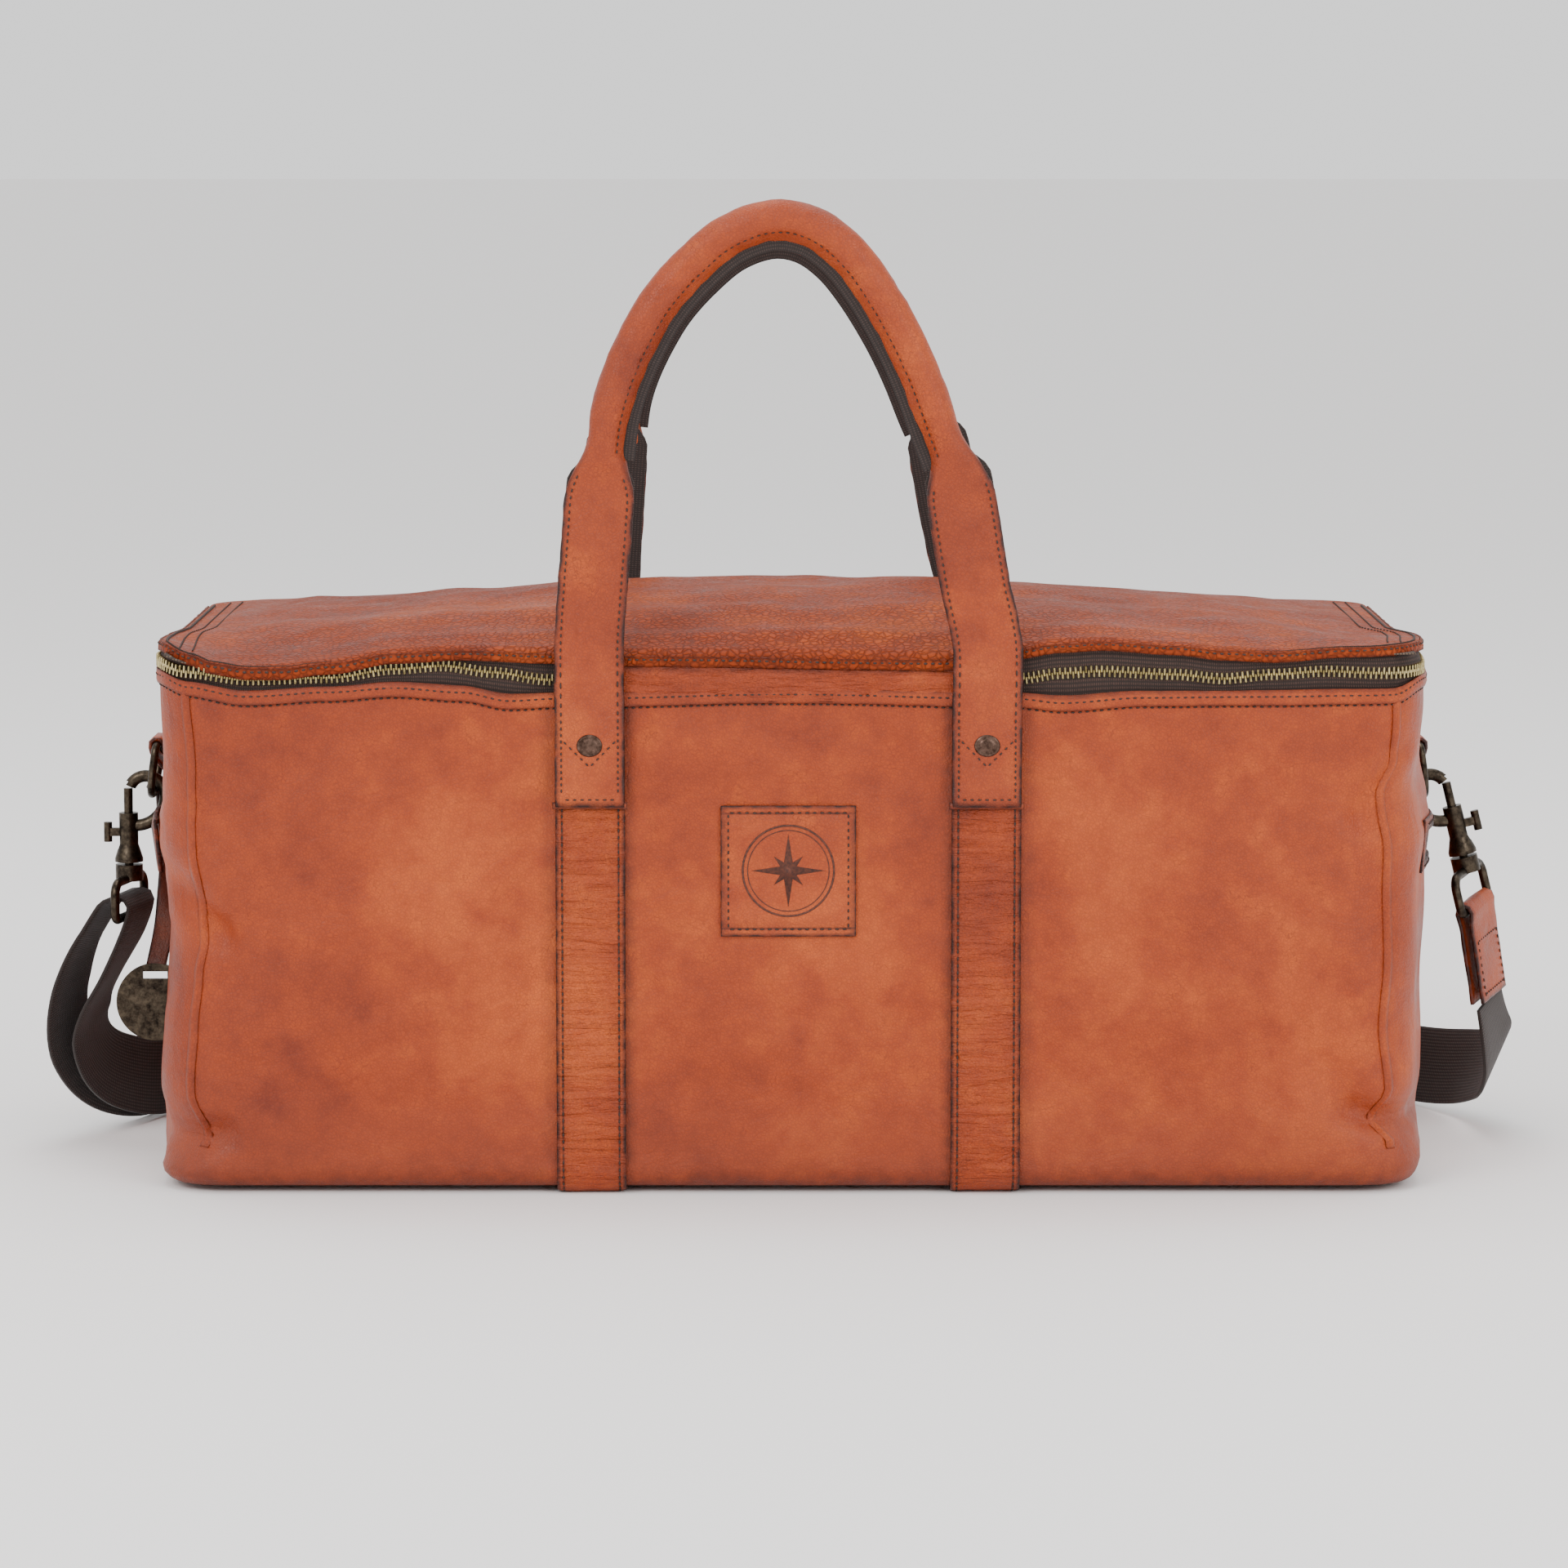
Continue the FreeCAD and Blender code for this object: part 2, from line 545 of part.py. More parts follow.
def webbing(stations, thickness, width=SLING_W):
    """A flat strap along a route; each station is a point and the way the strap's width lies."""
    points = [V(*p) for p, _ in stations]
    sides = [V(*w).normalize() for _, w in stations]
    path = route(points)
    marks = [0.0]
    for a, b in zip(points, points[1:]):
        marks.append(marks[-1] + (b - a).Length)
    share = path.Length / marks[-1]
    cuts, travelled = [], 0.0
    for edge in path.OrderedEdges:
        steps = (0.0, 0.5) if edge.Curve.TypeId == "Part::GeomCircle" else (0.0,)
        span = edge.LastParameter - edge.FirstParameter
        for step in steps:
            cuts.append((edge.valueAt(edge.FirstParameter + step * span),
                         edge.tangentAt(edge.FirstParameter + step * span), travelled + step * edge.Length))
        travelled += edge.Length
    last = path.OrderedEdges[-1]
    cuts.append((last.valueAt(last.LastParameter), last.tangentAt(last.LastParameter), travelled))
    rings = []
    for point, tangent, at in cuts:
        place = at / share
        i = max(k for k in range(len(marks) - 1) if marks[k] <= place + 1e-6)
        t = (place - marks[i]) / (marks[i + 1] - marks[i])
        side = sides[i] * (1 - t) + sides[i + 1] * t
        side = (side - tangent * side.dot(tangent)).normalize() * (width / 2)
        face = tangent.cross(side).normalize() * (thickness / 2)
        ring_points = [point + side + face, point - side + face, point - side - face, point + side - face]
        rings.append(Part.makePolygon(ring_points + ring_points[:1]))
    solid = Part.makeLoft(rings, True, True)
    print(f"  strap length {path.Length:.1f}, volume over section times length "
          f"{solid.Volume / (width * thickness * path.Length):.3f}")
    return solid


# Hang tag: a twisted leather strip from the left ring to a metal disc
hang_a = math.asin(TAG_Y / (RING_W / 2))
hang_drop = RING_H - RING_W / 2 + RING_W / 2 * math.cos(hang_a)
hang = bar + V(-hang_drop * math.sin(lean), TAG_Y, -hang_drop * math.cos(lean))
along_wire = V(0, math.cos(hang_a), math.sin(hang_a))
tag_roll = rod(hang - along_wire * (TAG_W / 2), hang + along_wire * (TAG_W / 2), wire_r + 2.9)
tag_room = rod(hang - along_wire * TAG_W, hang + along_wire * TAG_W, wire_r + 1.3)
disc_top = TAG_DISC_Z + TAG_DISC_D / 2
tag_x = -HALF_L - TAG_DISC_D / 2 - 1.0
tag_band = webbing([((hang.x, hang.y, hang.z - wire_r - 2), along_wire),
                    ((hang.x + 3.0, hang.y + 1, hang.z - 24), (0.2, 0.9, 0.3)),
                    ((hang.x + 5.0, TAG_Y + 2, disc_top + 34), (0.8, 0.6, 0)),
                    ((tag_x, TAG_Y + 2, disc_top + 3), (1, 0.0, 0))], 3.2, TAG_W)
tag_half = TAG_DISC_T / 2 + 1.6
tag_mouth = box((tag_x - TAG_W / 2, tag_x + TAG_W / 2), (TAG_Y + 2 - tag_half, TAG_Y + 2 + tag_half),
                (disc_top - 7.2, disc_top + 4))
tag_gap = box((tag_x - TAG_W, tag_x + TAG_W), (TAG_Y + 2 - TAG_DISC_T / 2, TAG_Y + 2 + TAG_DISC_T / 2),
              (disc_top - 4.0, disc_top + 0.6))
tag_strip = tag_roll.fuse([tag_band, tag_mouth]).cut(tag_room).cut(tag_gap)
tag_disc = Part.makeCylinder(TAG_DISC_D / 2, TAG_DISC_T, V(tag_x, TAG_Y + 2 - TAG_DISC_T / 2, TAG_DISC_Z),
                             V(0, 1, 0))
tag_disc = tag_disc.cut(box((tag_x - TAG_W / 2 - 1, tag_x + TAG_W / 2 + 1), (-FAR, FAR),
                            (disc_top - 7.6, disc_top - 4.0)))


def handle(face):
    """Leather, webbing and core of one handle, standing at its face of the bag."""
    y_mid = face * HANDLE_Y
    y_web = (face * TRIM_Y, face * (TRIM_Y + WEBBING_T))
    y_skin = (y_web[1], face * STRAP_Y)
    crown_z = HANDLE_TOP_Z - GRIP_D / 2
    bend_x, bend_z = 58.0, crown_z - 36.0
    top_r = (bend_x ** 2 + 36.0 ** 2) / (2 * 36.0)
    slope = math.atan2(bend_x, top_r - 36.0)
    chord = V(bend_x - SHOULDER_X, 0, bend_z - SHOULDER_Z)
    turn = 2 * (math.pi - slope - math.atan2(chord.z, chord.x))
    bulge = chord.Length / 2 * math.tan(abs(turn) / 4)
    normal = V(chord.z, 0, -chord.x).normalize()
    start, bend = V(SHOULDER_X, y_mid, SHOULDER_Z), V(bend_x, y_mid, bend_z)
    middle = (start + bend) * 0.5 + normal * bulge
    flip = [V(-p.x, p.y, p.z) for p in (start, middle, bend)]
    arch = [Part.Arc(start, middle, bend), Part.Arc(bend, V(0, y_mid, crown_z), flip[2]),
            Part.Arc(flip[2], flip[1], flip[0])]
    legs, backs = [], []
    half = STRAP_W / 2
    hinge_z = HANDLE_BEND_Z
    for s in (-1, 1):
        points = [(s * (STRAP_X + half), hinge_z), (s * (STRAP_X - half), hinge_z),
                  (s * (SHOULDER_X - half), SHOULDER_Z - 6),
                  (s * (SHOULDER_X - GRIP_D / 2), SHOULDER_Z + 12),
                  (s * (SHOULDER_X + GRIP_D / 2 - 3), SHOULDER_Z + 12),
                  (s * (SHOULDER_X + half), SHOULDER_Z - 10)]
        legs.append(plate_xz(points, y_skin))
        backs.append(plate_xz(points[:3] + [(s * (SHOULDER_X + half), SHOULDER_Z - 10)], y_web))
    core = pipe(arch, CORE_D / 2)
    leather = pipe(arch, GRIP_D / 2).fuse(legs).cut(core)
    lining = Part.Compound(backs).cut(pipe(arch, GRIP_D / 2))
    slack = math.tan(math.radians(LEAN_IN_DEG + 2)) * HANDLE_T
    wedge = plate_yz([(face * STRAP_Y, hinge_z), (face * (TRIM_Y - 1), hinge_z - 1),
                      (face * (TRIM_Y - 1), hinge_z + slack * (HANDLE_T + 1) / HANDLE_T)], (-FAR, FAR))
    return leather.cut(wedge), lining.cut(wedge), core


# Shoulder strap: hand-chosen route, from the right-hand tab round the back to the left-hand eye
tilt = math.radians(RIGHT_TILT_DEG)
eye_drop = HOOK_Z + EYE_BAR_Z - rim.z
eye_out = HOOK_X - RING_H * math.sin(lean)
tab_bar = V(-rim.x + eye_out * math.cos(tilt) - eye_drop * math.sin(tilt), 0,
            rim.z + eye_drop * math.cos(tilt) + eye_out * math.sin(tilt))
turn = math.radians(EYE_TURN_RIGHT)
tab_side = V(math.sin(turn) * math.cos(tilt), math.cos(turn), math.sin(turn) * math.sin(tilt))
tab_down = V(0.2, 0.12, -0.97)
tab_down = (tab_down - tab_side * tab_down.dot(tab_side)).normalize()
tab_end = tab_bar + tab_down * TAB_L
tab_room_r = EYE_WIRE_R + 0.3
tab_roll_r = tab_room_r + 2.0
tab_band = webbing([(tuple(tab_bar + tab_down * 3), tab_side), (tuple(tab_end), tab_side)], TAB_T)
tab_roll = rod(tab_bar - tab_side * (SLING_W / 2), tab_bar + tab_side * (SLING_W / 2), tab_roll_r)
tab_room = rod(tab_bar - tab_side * SLING_W, tab_bar + tab_side * SLING_W, tab_room_r)
strap_end_tab = tab_band.fuse(tab_roll).cut(tab_room)

UP = (0, 0, 1)
FOLD = V(-HALF_L - LOOP_OUT - HOOK_X, 0, HOOK_Z + EYE_BAR_Z + 10)
eye_way = math.radians(EYE_TURN_LEFT)
FOLD_RUN = V(math.cos(eye_way), -math.sin(eye_way), 0) * 7
main_route = [(tuple(tab_end), tuple(tab_side)),
              (tuple(tab_end + tab_down * 14), tuple(tab_side)),
              ((348, 22, 36), (0.3, 0.75, 0.6)),
              ((343, 58, 27), (0.2, 0.3, 0.93)),
              ((322, 98, 20), (0.1, 0.1, 0.98)),
              ((296, 141, 19.5), UP),
              ((240, 166, 19.5), UP),
              ((170, 172, 19.5), UP),
              ((95, 163, 19.5), UP),
              ((25, 160, 19.5), UP),
              ((-45, 168, 19.5), UP),
              ((-115, 174, 20.5), UP),
              ((-185, 170, 22), UP),
              ((-248, 160, 22), UP),
              ((-291, 134, 20), UP),
              ((-311, 96, 19.5), UP),
              ((-325, 58, 19.5), (-0.05, 0.15, 0.98)),
              ((-345, 29, 31), (0.15, 0.55, 0.8)),
              ((-353, 8, 58), (0.4, 0.85, 0.35)),
              ((-345, 1, 90), (0.35, 0.93, 0.1)),
              ((-332, 2, 112), (0.21, 0.98, 0)),
              (tuple(FOLD - FOLD_RUN), (0.21, 0.98, 0)),
              (tuple(FOLD), (0.21, 0.98, 0))]
return_route = [(tuple(FOLD), (0.21, 0.98, 0)),
                (tuple(FOLD + FOLD_RUN), (0.21, 0.98, 0)),
                ((-315.5, -1, 107), (0.21, 0.98, 0)),
                ((-325, 0, 88), (0.2, 0.98, 0.1)),
                ((-341, 6, 60), (0.35, 0.85, 0.3)),
                ((-338, 25, 34), (0.15, 0.6, 0.75)),
                ((-317, 56, 21), (-0.05, 0.2, 0.97)),
                ((-303, 90, 19.5), UP),
                ((-284, 128, 20), UP),
                ((-246, 151, 22), UP),
                ((-206, 161, 22), UP)]
strap_main = webbing(main_route, SLING_T)
strap_return = webbing(return_route, SLING_T)

# Adjuster: a three-bar slide between the two layers of webbing
wide, thick, tall = ADJUSTER
adjuster_at = V(-192, 163.5, 22)
strap_adjuster = Part.makeBox(wide, thick, tall, adjuster_at - V(wide / 2, thick / 2, tall / 2))
for s in (-1, 1):
    gap = Part.makeBox(7, 3 * thick, tall - 5, adjuster_at + V(s * 6.5 - 3.5, -1.5 * thick, 2.5 - tall / 2))
    strap_adjuster = strap_adjuster.cut(gap)

# Write every node
save("front_panel", front_panel)
save("back_panel", back_panel)
save("bottom_panel", bottom_panel)
save("base_board", base_board)
for s, name in ((-1, "left"), (1, "right")):
    save(f"{name}_end_panel", end_panels[s].cut(mirrored(window, -s)))
    body_lining = body_lining.cut(mirrored(lining_room, -s))
    save(f"trim_strap_{name}", trim_straps[s].cut(holes))
    save(f"{name}_pocket_frame", mirrored(pocket_frame, -s))
    save(f"{name}_pocket_tape", mirrored(Part.Compound(pocket_tapes), -s))
    save(f"{name}_pocket_teeth", mirrored(Part.Compound(pocket_rows), -s))
    save(f"{name}_pocket_bag", mirrored(pocket_bag, -s))
    save(f"{name}_pocket_slider", mirrored(pocket_slider, -s))
    save(f"{name}_pocket_pull", mirrored(pocket_pull, -s))
    save(f"{name}_ring_loop", mirrored(ring_loop, s))
    save(f"{name}_d_ring", mirrored(ring, s))
    turn_deg = EYE_TURN_LEFT if s < 0 else EYE_TURN_RIGHT
    for part, shape in hook_set(s, turn_deg):
        save(f"{name}_hook_{part}", shape)
save("body_lining", body_lining)
for face, name in ((-1, "front"), (1, "back")):
    save(f"{name}_handle_feet", Part.Compound(feet[face]).cut(holes))
    skin, lining, core = handle(face)
    save(f"{name}_handle_leather", skin)
    save(f"{name}_handle_webbing", lining)
    save(f"{name}_handle_core", core)
save("handle_rivets", Part.Compound(rivets))
save("maker_patch", maker_patch)
save("zip_guard", zip_guard)
save("rear_hinge_strip", rear_hinge_strip)
save("body_zip_tape", body_zip_tape)
save("body_zip_teeth", body_zip_teeth)
save("lid_panel", lid_panel)
save("lid_lining", lid_lining)
save("lid_zip_tape", lid_zip_tape)
save("lid_zip_teeth", lid_zip_teeth)
save("main_slider", main_slider)
save("main_pull", main_pull)
save("tag_strip", tag_strip)
save("tag_disc", tag_disc)
save("strap_end_tab", strap_end_tab)
save("strap_main", strap_main)
save("strap_return", strap_return)
save("strap_adjuster", strap_adjuster)
print(len(made), "nodes")
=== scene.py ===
"""Soft leather weekender bag: everything that shows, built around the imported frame.

Sizes are in millimetres until a piece is finished, when its mesh is turned to
metres. X runs along the bag, -Y is the front and +Z is up, as in the frame.
"""

from __future__ import annotations

import logging
import math
from dataclasses import dataclass, field
from enum import Enum
from typing import Any, Callable, Sequence

import bmesh
import bpy
from mathutils import Matrix, Vector, noise
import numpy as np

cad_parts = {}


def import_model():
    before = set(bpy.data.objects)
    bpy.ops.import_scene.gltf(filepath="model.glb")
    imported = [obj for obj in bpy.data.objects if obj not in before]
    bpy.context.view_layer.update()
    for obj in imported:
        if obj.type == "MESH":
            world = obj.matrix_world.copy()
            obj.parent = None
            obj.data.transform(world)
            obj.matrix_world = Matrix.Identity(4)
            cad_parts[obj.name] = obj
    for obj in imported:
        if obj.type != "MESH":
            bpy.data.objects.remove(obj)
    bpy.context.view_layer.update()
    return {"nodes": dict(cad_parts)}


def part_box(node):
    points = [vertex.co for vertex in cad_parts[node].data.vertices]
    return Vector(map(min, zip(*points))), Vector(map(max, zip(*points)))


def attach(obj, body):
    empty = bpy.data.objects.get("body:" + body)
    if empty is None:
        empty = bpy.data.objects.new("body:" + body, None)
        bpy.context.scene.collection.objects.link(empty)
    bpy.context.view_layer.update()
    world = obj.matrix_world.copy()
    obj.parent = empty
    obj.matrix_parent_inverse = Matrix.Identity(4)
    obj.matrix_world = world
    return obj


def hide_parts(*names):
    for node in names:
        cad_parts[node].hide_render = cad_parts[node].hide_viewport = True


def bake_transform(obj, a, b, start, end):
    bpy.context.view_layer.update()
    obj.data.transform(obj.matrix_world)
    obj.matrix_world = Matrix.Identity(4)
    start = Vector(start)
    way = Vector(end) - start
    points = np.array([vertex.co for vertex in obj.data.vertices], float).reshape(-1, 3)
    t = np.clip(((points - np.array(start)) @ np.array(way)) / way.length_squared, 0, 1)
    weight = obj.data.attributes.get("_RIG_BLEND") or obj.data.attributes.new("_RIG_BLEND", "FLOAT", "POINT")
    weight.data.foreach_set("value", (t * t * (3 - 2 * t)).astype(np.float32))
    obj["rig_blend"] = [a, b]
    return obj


LOG = logging.getLogger("weekender")
MM = 0.001
X_AXIS, Y_AXIS, Z_AXIS = Vector((1, 0, 0)), Vector((0, 1, 0)), Vector((0, 0, 1))
# This attribute darkens burnished edges, and also carries painted shade on the body
BURNISH_AND_SHADE = "burnish"
# Painted light: this attribute mixes in a mauve tint, a painted sheen on the lid and a painted tint low on
# the body
PAINTED_LIGHT_TINT = "tone"
WEAVE_MAP = "weave"


class Slot(Enum):
    """The record's material slots."""

    LEATHER = "leather"
    TRIM = "leather_trim"
    DARK = "leather_dark"
    LINING = "lining_cloth"
    WEBBING = "webbing"
    TAPE = "zip_tape"
    BRASS = "zip_brass"
    HARDWARE = "hardware"
    RIVET = "rivet_metal"
    BOARD = "board"


class Face(Enum):
    """The two long faces of the bag, by the sign of their Y."""

    FRONT = -1
    BACK = 1


class End(Enum):
    """The two short ends of the bag, by the sign of their X."""

    LEFT = -1
    RIGHT = 1


# ---------------------------------------------------------------- small maths


def smooth(low: float, high: float, value: float) -> float:
    """Rise from 0 at low to 1 at high with no corners; low may be the larger."""
    t = max(0.0, min(1.0, (value - low) / (high - low)))
    return t * t * (3 - 2 * t)


def bump(value: float, middle: float, width: float) -> float:
    """A bell of height 1 about the middle."""
    t = (value - middle) / width
    return math.exp(-t * t)


def curve_at(table: Sequence[tuple[float, float]], value: float) -> float:
    """Read a table of (place, amount), eased between its rows.

    Args:
        table: rows in rising order of place.
        value: the place to read.

    Returns:
        The amount there, held level outside the table.
    """
    if value <= table[0][0]:
        return table[0][1]
    for (a, low), (b, high) in zip(table, table[1:]):
        if value <= b:
            return low + (high - low) * smooth(a, b, value)
    return table[-1][1]


def linear(hex_colour: str) -> tuple[float, float, float, float]:
    """Turn an sRGB hex colour to the linear colour that a shader takes."""
    parts = [int(hex_colour[i:i + 2], 16) / 255 for i in (1, 3, 5)]
    turned = [p / 12.92 if p <= 0.04045 else ((p + 0.055) / 1.055) ** 2.4 for p in parts]
    return (*turned, 1.0)


def per_mm(size: float) -> float:
    """The texture scale, in metres, of a pattern that repeats every size mm."""
    return 1 / (size * MM)


# ------------------------------------------------------------------ materials


def add_node(tree: bpy.types.NodeTree, kind: str, settings: dict[Any, Any] | None = None,
             links: dict[Any, Any] | None = None) -> bpy.types.Node:
    """Add a shader node.

    Args:
        tree: the node tree to add to.
        kind: the node's type name.
        settings: properties and socket values; "stops" fills a colour ramp.
        links: what each input socket is fed by.

    Returns:
        The new node.
    """
    node = tree.nodes.new(kind)
    for key, value in (settings or {}).items():
        if key == "stops":
            marks = node.color_ramp.elements
            while len(marks) < len(value):
                marks.new(0.5)
            for mark, (place, colour) in zip(marks, value):
                mark.position = place
                mark.color = linear(colour)
        elif isinstance(key, str) and hasattr(node, key):
            setattr(node, key, value)
        else:
            node.inputs[key].default_value = value
    for key, source in (links or {}).items():
        tree.links.new(source, node.inputs[key])
    return node


def noise_at(tree: bpy.types.NodeTree, place: bpy.types.NodeSocket, size: float, detail: float,
             roughness: float = 0.5) -> bpy.types.Node:
    """Noise with features about size mm across."""
    return add_node(tree, "ShaderNodeTexNoise",
                    {"Scale": per_mm(size), "Detail": detail, "Roughness": roughness}, {"Vector": place})


def cell_edges(tree: bpy.types.NodeTree, place: bpy.types.NodeSocket, size: float, push_size: float,
               detail: float, push: float) -> bpy.types.NodeSocket:
    """The distance to the edges of cells size mm across, pushed about so that no two line up."""
    roam = noise_at(tree, place, push_size, detail)
    amount = (size * MM * push,) * 3
    shifted = add_node(tree, "ShaderNodeVectorMath", {"operation": "MULTIPLY_ADD", 1: amount},
                       {0: roam.outputs["Color"], 2: place})
    cells = add_node(tree, "ShaderNodeTexVoronoi", {"Scale": per_mm(size), "feature": "DISTANCE_TO_EDGE"},
                     {"Vector": shifted.outputs[0]})
    return cells.outputs["Distance"]


def remap(tree: bpy.types.NodeTree, source: bpy.types.NodeSocket, low: float, high: float,
          to_low: float = 0.0, to_high: float = 1.0) -> bpy.types.NodeSocket:
    """Stretch a value from one range to another."""
    return add_node(tree, "ShaderNodeMapRange",
                    {"From Min": low, "From Max": high, "To Min": to_low, "To Max": to_high},
                    {"Value": source}).outputs[0]


def product(tree: bpy.types.NodeTree, first: bpy.types.NodeSocket,
            second: bpy.types.NodeSocket | float, clamp: bool = False) -> bpy.types.NodeSocket:
    """Multiply a value by another, or by a number."""
    fixed = isinstance(second, float)
    settings = {"operation": "MULTIPLY", "use_clamp": clamp} | ({1: second} if fixed else {})
    return add_node(tree, "ShaderNodeMath", settings, {0: first} | ({} if fixed else {1: second})).outputs[0]


def mix_in(tree: bpy.types.NodeTree, share: bpy.types.NodeSocket, under: bpy.types.NodeSocket,
           hex_colour: str) -> bpy.types.NodeSocket:
    """Mix a fixed colour over another."""
    return add_node(tree, "ShaderNodeMix", {"data_type": "RGBA", 7: linear(hex_colour)},
                    {0: share, 6: under}).outputs[2]


def ramp(tree: bpy.types.NodeTree, source: bpy.types.NodeSocket,
         *stops: tuple[float, str]) -> bpy.types.NodeSocket:
    """Colour a value by a ramp of (place, colour) stops."""
    return add_node(tree, "ShaderNodeValToRGB", {"stops": stops}, {"Fac": source}).outputs[0]


def relief(tree: bpy.types.NodeTree, height: bpy.types.NodeSocket, strength: float, depth: float,
           under: bpy.types.NodeSocket | None = None, invert: bool = False) -> bpy.types.NodeSocket:
    """A bump of a depth in mm, over any relief that lies under it."""
    return add_node(tree, "ShaderNodeBump", {"Strength": strength, "Distance": depth * MM, "invert": invert},
                    {"Height": height} | ({} if under is None else {"Normal": under})).outputs[0]


@dataclass(frozen=True)
class Finish:
    """What every finish shares: a name, a slot, and constants of its surface."""

    name: str
    slot: Slot
    roughness: float = 0.5
    metallic: float = 0.0
    coat: float = 0.0
    sheen: float = 0.0
    specular: float = 0.5

    def material(self) -> bpy.types.Material:
        """Return the material, made on first use."""
        found = bpy.data.materials.get(self.name)
        if found:
            return found
        made = bpy.data.materials.new(self.name)
        made.use_nodes = True
        tree = made.node_tree
        tree.nodes.clear()
        shader = add_node(tree, "ShaderNodeBsdfPrincipled", {
            "Roughness": self.roughness, "Metallic": self.metallic, "Coat Weight": self.coat,
            "Coat Roughness": 0.35, "Sheen Weight": self.sheen, "Sheen Roughness": 0.5,
            "Specular IOR Level": self.specular})
        self.dress(tree, shader)
        add_node(tree, "ShaderNodeOutputMaterial", links={"Surface": shader.outputs[0]})
        return made

    def dress(self, tree: bpy.types.NodeTree, shader: bpy.types.Node) -> None:
        """Add the nodes that colour and texture the surface."""
        raise NotImplementedError


@dataclass(frozen=True)
class LeatherFinish(Finish):
    """Vegetable-tanned, waxed cowhide: pulled-up light patches, a pebbled grain,
    fine cracks where it has flexed, and dark burnished edges; painted shade rides with the burnish, and a
    painted mauve sheen with the tint."""

    dark: str = "#6C220A"
    base: str = "#983A10"
    light: str = "#C25A20"
    # Colour of the burnished edges; it also paints the shade carried by the burnish attribute
    edge: str = "#2C0E08"
    # Colour of the painted mauve sheen and tint
    painted_light_mauve: str = "#86402C"
    grain: float = 1.5
    grain_depth: float = 0.16
    pore_shade: float = 0.82
    crack: float = 8.0
    crack_show: float = 0.5
    wrinkle: tuple[float, float, float] = (30.0, 30.0, 30.0)
    wrinkle_depth: float = 0.55

    def dress(self, tree: bpy.types.NodeTree, shader: bpy.types.Node) -> None:
        """Mottle, pebble, crack and burnish the hide, and mix in painted shade and a painted mauve sheen."""
        place = add_node(tree, "ShaderNodeTexCoord").outputs["Object"]
        broad = noise_at(tree, place, 85, 3.0, 0.55).outputs["Fac"]
        patchy = noise_at(tree, place, 17, 5.0, 0.65).outputs["Fac"]
        both = add_node(tree, "ShaderNodeMix", {"data_type": "FLOAT", 0: 0.42}, {2: broad, 3: patchy})
        hide = ramp(tree, both.outputs[0], (0.28, self.dark), (0.5, self.base), (0.74, self.light))
        pores = remap(tree, cell_edges(tree, place, self.grain, self.grain * 3, 2.0, 1.6), 0.0, 0.22)
        crack = cell_edges(tree, place, self.crack, self.crack * 0.7, 4.0, 1.5)
        line = remap(tree, crack, 0.0, 0.05, 1.0, 0.0)
        cracks = product(tree, product(tree, line, remap(tree, patchy, 0.47, 0.66)), self.crack_show)
        cracked = mix_in(tree, cracks, hide, self.dark)
        pored = add_node(tree, "ShaderNodeVectorMath", {"operation": "SCALE"},
                         {0: cracked, 3: remap(tree, pores, 0.0, 1.0, self.pore_shade, 1.04)})
        # Painted light: a mauve sheen on the lid and a mauve tint low on the body, mixed in by attribute
        tone = add_node(tree, "ShaderNodeAttribute", {"attribute_name": PAINTED_LIGHT_TINT})
        light_tinted = mix_in(tree, tone.outputs["Fac"], pored.outputs[0], self.painted_light_mauve)
        # Burnished edges, plus painted shade beside the straps and along the body's bottom, darken towards
        # the edge colour
        burnish_and_shade_node = add_node(tree, "ShaderNodeAttribute", {"attribute_name": BURNISH_AND_SHADE})
        ragged = remap(tree, noise_at(tree, place, 6, 3.0).outputs["Fac"], 0.3, 0.62, 0.55, 1.25)
        darkened_share = product(tree, burnish_and_shade_node.outputs["Fac"], ragged, clamp=True)
        tree.links.new(mix_in(tree, darkened_share, light_tinted, self.edge), shader.inputs["Base Color"])
        gloss = remap(tree, patchy, 0.3, 0.7, self.roughness - 0.08, self.roughness + 0.12)
        tree.links.new(gloss, shader.inputs["Roughness"])
        wrinkles = tuple(per_mm(w) for w in self.wrinkle)
        folds_at = add_node(tree, "ShaderNodeVectorMath", {"operation": "MULTIPLY", 1: wrinkles}, {0: place})
        folds = add_node(tree, "ShaderNodeTexNoise",
                         {"Scale": 1.0, "Detail": 4.0, "Roughness": 0.6, "Distortion": 0.6},
                         {"Vector": folds_at.outputs[0]})
        folded = relief(tree, folds.outputs["Fac"], 1.0, self.wrinkle_depth * 4)
        cracked_low = relief(tree, cracks, 0.6, 0.25, under=folded, invert=True)
        grained = relief(tree, pores, 0.7, self.grain_depth, under=cracked_low)
        tree.links.new(grained, shader.inputs["Normal"])


